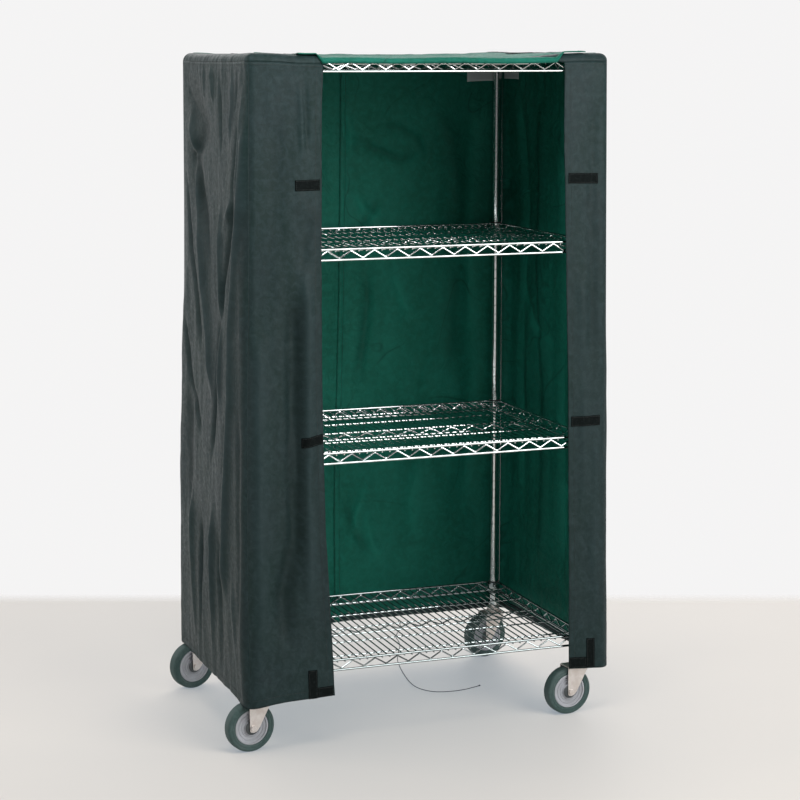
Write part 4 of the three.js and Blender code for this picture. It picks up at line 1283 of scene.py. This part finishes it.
# The thrown-back panel's hems, and the hook tape that meets the tabs when it hangs closed; its place along
# the panel is measured from the lip.
FREE_END = panel_length - 0.001
PAD_EDGE = 0.022  # from the panel's side edge to its hook tape
band = rectangle(0.001, panel_width - 0.001, FREE_END - HEM_BAND, FREE_END)
sewn_strip("panel_hem_free", "front_panel", band, OUTSIDE, "cover_cloth", across=90)
for side, edge in (("left", 0.001), ("right", panel_width - 0.001 - EDGE_BAND)):
    band = rectangle(edge, edge + EDGE_BAND, 0.045, FREE_END - HEM_BAND - 0.001)
    sewn_strip(f"panel_hem_{side}", "front_panel", band, OUTSIDE, "cover_cloth", across=5, up=170)
for level, place in (("upper", 0.316), ("lower", 0.942)):
    for side, edge in (("left", PAD_EDGE), ("right", panel_width - PAD_EDGE - PAD_WIDTH)):
        pad = rectangle(edge, edge + PAD_WIDTH, place - PAD_HEIGHT / 2, place + PAD_HEIGHT / 2)
        sewn_strip(f"panel_pad_{side}_{level}", "front_panel", pad, TAPE, "hook_tape", TAPE_THICK)
for side, edge, foot in (("left", PAD_EDGE, 0.048), ("right", panel_width - 0.046, panel_width - 0.092)):
    upright = rectangle(edge, edge + 0.024, FREE_END - 0.108, FREE_END - 0.028)
    sewn_strip(f"panel_strip_{side}_upright", "front_panel", upright, TAPE, "hook_tape", TAPE_THICK)
    level = rectangle(foot, foot + 0.044, FREE_END - 0.055, FREE_END - 0.028)
    sewn_strip(f"panel_strip_{side}_level", "front_panel", level, TAPE, "hook_tape", TAPE_THICK)

for name, panel, ends in (
    ("blank_label_back", "back", rectangle(0.818, 0.907, 1.6550, 1.6900)),
    ("blank_label_side", "right_side", rectangle(0.008, 0.100, 1.6610, 1.6900)),
):
    sewn_cloth(name, panel, ends, LABEL, "cover_cloth", 0.0007, "inner", 12, 6)


# ---- Cord ----------------------------------------------------------------------------------

CORD_ROUTE = [
    (0.150, 0.306, 0.127), (0.155, 0.306, 0.114), (0.160, 0.306, 0.101), (0.150, 0.306, 0.088),
    (0.145, 0.306, 0.074), (0.153, 0.306, 0.060), (0.156, 0.305, 0.044), (0.150, 0.303, 0.026),
    (0.146, 0.297, 0.010), (0.144, 0.285, 0.0024), (0.142, 0.272, 0.0016), (0.135, 0.245, 0.0016),
    (0.127, 0.205, 0.0016), (0.119, 0.158, 0.0016), (0.113, 0.115, 0.0016), (0.111, 0.077, 0.0016),
    (0.115, 0.045, 0.0016), (0.127, 0.018, 0.0016), (0.146, -0.002, 0.0016), (0.170, -0.011, 0.0016),
    (0.200, -0.014, 0.0016), (0.232, -0.010, 0.0016), (0.258, -0.001, 0.0016), (0.282, 0.008, 0.0016),
]


def smooth_route(points, steps=6):
    """A curve through every point of a route, leaning at each towards its neighbours."""
    points = [Vector(p) for p in points]
    padded = [points[0], *points, points[-1]]
    path = []
    for before, here, on, after in zip(padded, padded[1:], padded[2:], padded[3:]):
        bend = 2 * before - 5 * here + 4 * on - after
        swing = 3 * here - before - 3 * on + after
        for k in range(steps):
            t = k / steps
            path.append(here + ((on - before) * t + bend * t**2 + swing * t**3) * 0.5)
    return path + [points[-1]]


def knot_shape(end):
    """A small trefoil knot of the same cord."""
    loops = 60
    trefoil = []
    for i in range(loops):
        turn = 2 * math.pi * i / loops
        x = math.sin(turn) + 2 * math.sin(2 * turn)
        y = math.cos(turn) - 2 * math.cos(2 * turn)
        trefoil.append(end + Vector((x * 0.0008, y * 0.0008, 0.0006 - math.sin(3 * turn) * 0.0007)))
    shape = Shape()
    tube(shape, trefoil, CORD_RADIUS * 0.8, 8, closed=True)
    return shape


def make_cord():
    """The thin cord from the back hem to its knotted end on the floor."""
    path = [p + MIDDLE for p in smooth_route(CORD_ROUTE)]
    length = sum((b - a).length for a, b in zip(path, path[1:]))
    data = bpy.data.curves.new("hem_twine", "CURVE")
    data.dimensions = "3D"
    data.bevel_depth = CORD_RADIUS
    data.bevel_resolution = 3
    data.use_fill_caps = True
    spline = data.splines.new("POLY")
    spline.points.add(len(path) - 1)
    for point, place in zip(spline.points, path):
        point.co = (*place, 1)
    data.materials.append(TWINE)
    cord = bpy.data.objects.new("hem_twine", data)
    bpy.context.scene.collection.objects.link(cord)
    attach(cord, "cart")
    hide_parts("hem_cord")
    knot_piece = make("twine_knot", knot_shape(Vector(CORD_ROUTE[-1])), TWINE, "cart", "cord_twine")
    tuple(path[0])


make_cord()

for panel, sheet in SHEETS.items():
    flat = (round(wall_length(panel, 0.9), 3), round(WALL_TOP - HEM, 3))
flat = (round(panel_width, 3), round(panel_length, 3))


# ---- Camera, lights and floor ---------------------------------------------------------------

CAMERA_PLACE = Vector((-1.85100, -5.12813, 1.72383))
CAMERA_LENS = 93.57
CAMERA_YAW = 20.28
CAMERA_PITCH = 9.40
FILL_FRONT, FILL_BACK = 0.20, 0.95  # the surround's strength as a light, in front of the cart and behind it
FLOOR_BACK = 1.11  # how far the floor reaches behind the cart, away from the camera
FLOOR_FADE = 0.10  # over this much of it the floor fades away
SOFTBOXES = {  # place, what it points at, size, power
    "key_right": ((1.80, -3.30, 2.40), (-0.05, 0.0, 1.0), (2.8, 2.4), 130),
    "side_left": ((-3.20, 0.60, 2.40), (-0.45, 0.0, 0.9), (2.2, 2.2), 34),
    "top_front": ((-0.60, -1.40, 2.95), (-0.2, -0.2, 1.2), (1.8, 0.9), 31),
    "top_back": ((0.30, 2.30, 3.20), (0.0, 0.5, 0.0), (3.2, 2.0), 42),
    "back_right": ((2.60, 3.00, 1.80), (0.0, 0.0, 0.9), (2.4, 2.0), 24),
}


def set_camera():
    data = bpy.data.cameras.new("camera")
    data.lens = CAMERA_LENS
    data.sensor_width = 36
    camera = bpy.data.objects.new("camera", data)
    camera.location = MIDDLE + CAMERA_PLACE
    camera.rotation_euler = (math.radians(90 - CAMERA_PITCH), 0, math.radians(-CAMERA_YAW))
    bpy.context.scene.collection.objects.link(camera)
    bpy.context.scene.camera = camera


def add_softbox(name, place, target, size, power):
    data = bpy.data.lights.new(name, "AREA")
    data.shape = "RECTANGLE"
    data.size, data.size_y = size
    data.energy = power
    lamp = bpy.data.objects.new(name, data)
    lamp.location = place
    lamp.rotation_euler = (Vector(target) - Vector(place)).to_track_quat("-Z", "Y").to_euler()
    bpy.context.scene.collection.objects.link(lamp)


def set_world():
    """A white backdrop for the camera. It lights the cart more from behind than from the front."""
    world = bpy.data.worlds.new("studio")
    world.use_nodes = True
    nodes, links = world.node_tree.nodes, world.node_tree.links
    background = nodes["Background"]
    background.inputs["Color"].default_value = (0.91, 0.905, 0.905, 1)
    direction = nodes.new("ShaderNodeTexCoord")
    split = nodes.new("ShaderNodeSeparateXYZ")
    fill = nodes.new("ShaderNodeMapRange")
    limits = {"From Min": -0.7, "From Max": 0.9, "To Min": FILL_FRONT, "To Max": FILL_BACK}
    for name, value in limits.items():
        fill.inputs[name].default_value = value
    ray = nodes.new("ShaderNodeLightPath")
    strength = nodes.new("ShaderNodeMapRange")
    strength.inputs["To Max"].default_value = 1.0
    links.new(direction.outputs["Generated"], split.inputs["Vector"])
    links.new(split.outputs["Y"], fill.inputs["Value"])
    links.new(fill.outputs["Result"], strength.inputs["To Min"])
    links.new(ray.outputs["Is Camera Ray"], strength.inputs["Value"])
    links.new(strength.outputs["Result"], background.inputs["Strength"])
    bpy.context.scene.world = world


def floor_material():
    """A pale floor with painted light: its glow lifts the shade under the cart to a cool grey, brightens it
    behind the cart and rises to the backdrop's white away from the cart; it fades at its back edge.
    """
    r = Recipe("studio_floor")
    grain = r.noise(r.place(), 3.0, 3.0)
    r.link("Base Color", r.blend(grain, (0.405, 0.345, 0.278), (0.425, 0.360, 0.288)))
    r.set(Roughness=0.6, Specular_IOR_Level=0.2, Emission_Strength=1.0)
    away = r.add("VectorMath", Vector=r.place())
    away.operation = "LENGTH"
    far = r.spread(away.outputs["Value"], 0.0, 1.0, 2.2, 5.5)
    split = r.add("SeparateXYZ", Vector=r.place())
    behind = r.spread(split.outputs["Y"], 0.0, 1.0, -0.5, 1.1)
    # Painted light: the glow is brighter behind the cart and fills the shade under it.
    near = r.blend(behind, (0.208, 0.256, 0.306), (0.280, 0.312, 0.350))
    r.link("Emission Color", r.blend(far, near, (0.58, 0.60, 0.62)))
    gone = r.spread(split.outputs["Y"], 0.0, 1.0, FLOOR_BACK - FLOOR_FADE, FLOOR_BACK)
    clear = r.add("BsdfTransparent")
    mix = r.nodes.new("ShaderNodeMixShader")
    r.links.new(gone, mix.inputs[0])
    r.links.new(r.shader.outputs[0], mix.inputs[1])
    r.links.new(clear.outputs[0], mix.inputs[2])
    r.links.new(mix.outputs[0], r.nodes["Material Output"].inputs["Surface"])
    return r.material


def make_floor():
    """The floor ends behind the cart, where the white backdrop starts."""
    mesh = bpy.data.meshes.new("floor")
    points = [(-12, -14, 0), (12, -14, 0), (12, FLOOR_BACK, 0), (-12, FLOOR_BACK, 0)]
    mesh.from_pydata(points, [], [[0, 1, 2, 3]])
    floor = bpy.data.objects.new("floor", mesh)
    floor.rotation_euler = (0, 0, math.radians(-CAMERA_YAW))
    bpy.context.scene.collection.objects.link(floor)
    mesh.materials.append(floor_material())


set_camera()
set_world()
make_floor()
for name, (place, target, size, power) in SOFTBOXES.items():
    add_softbox(name, place, target, size, power)
bpy.context.scene.view_settings.view_transform = "Standard"
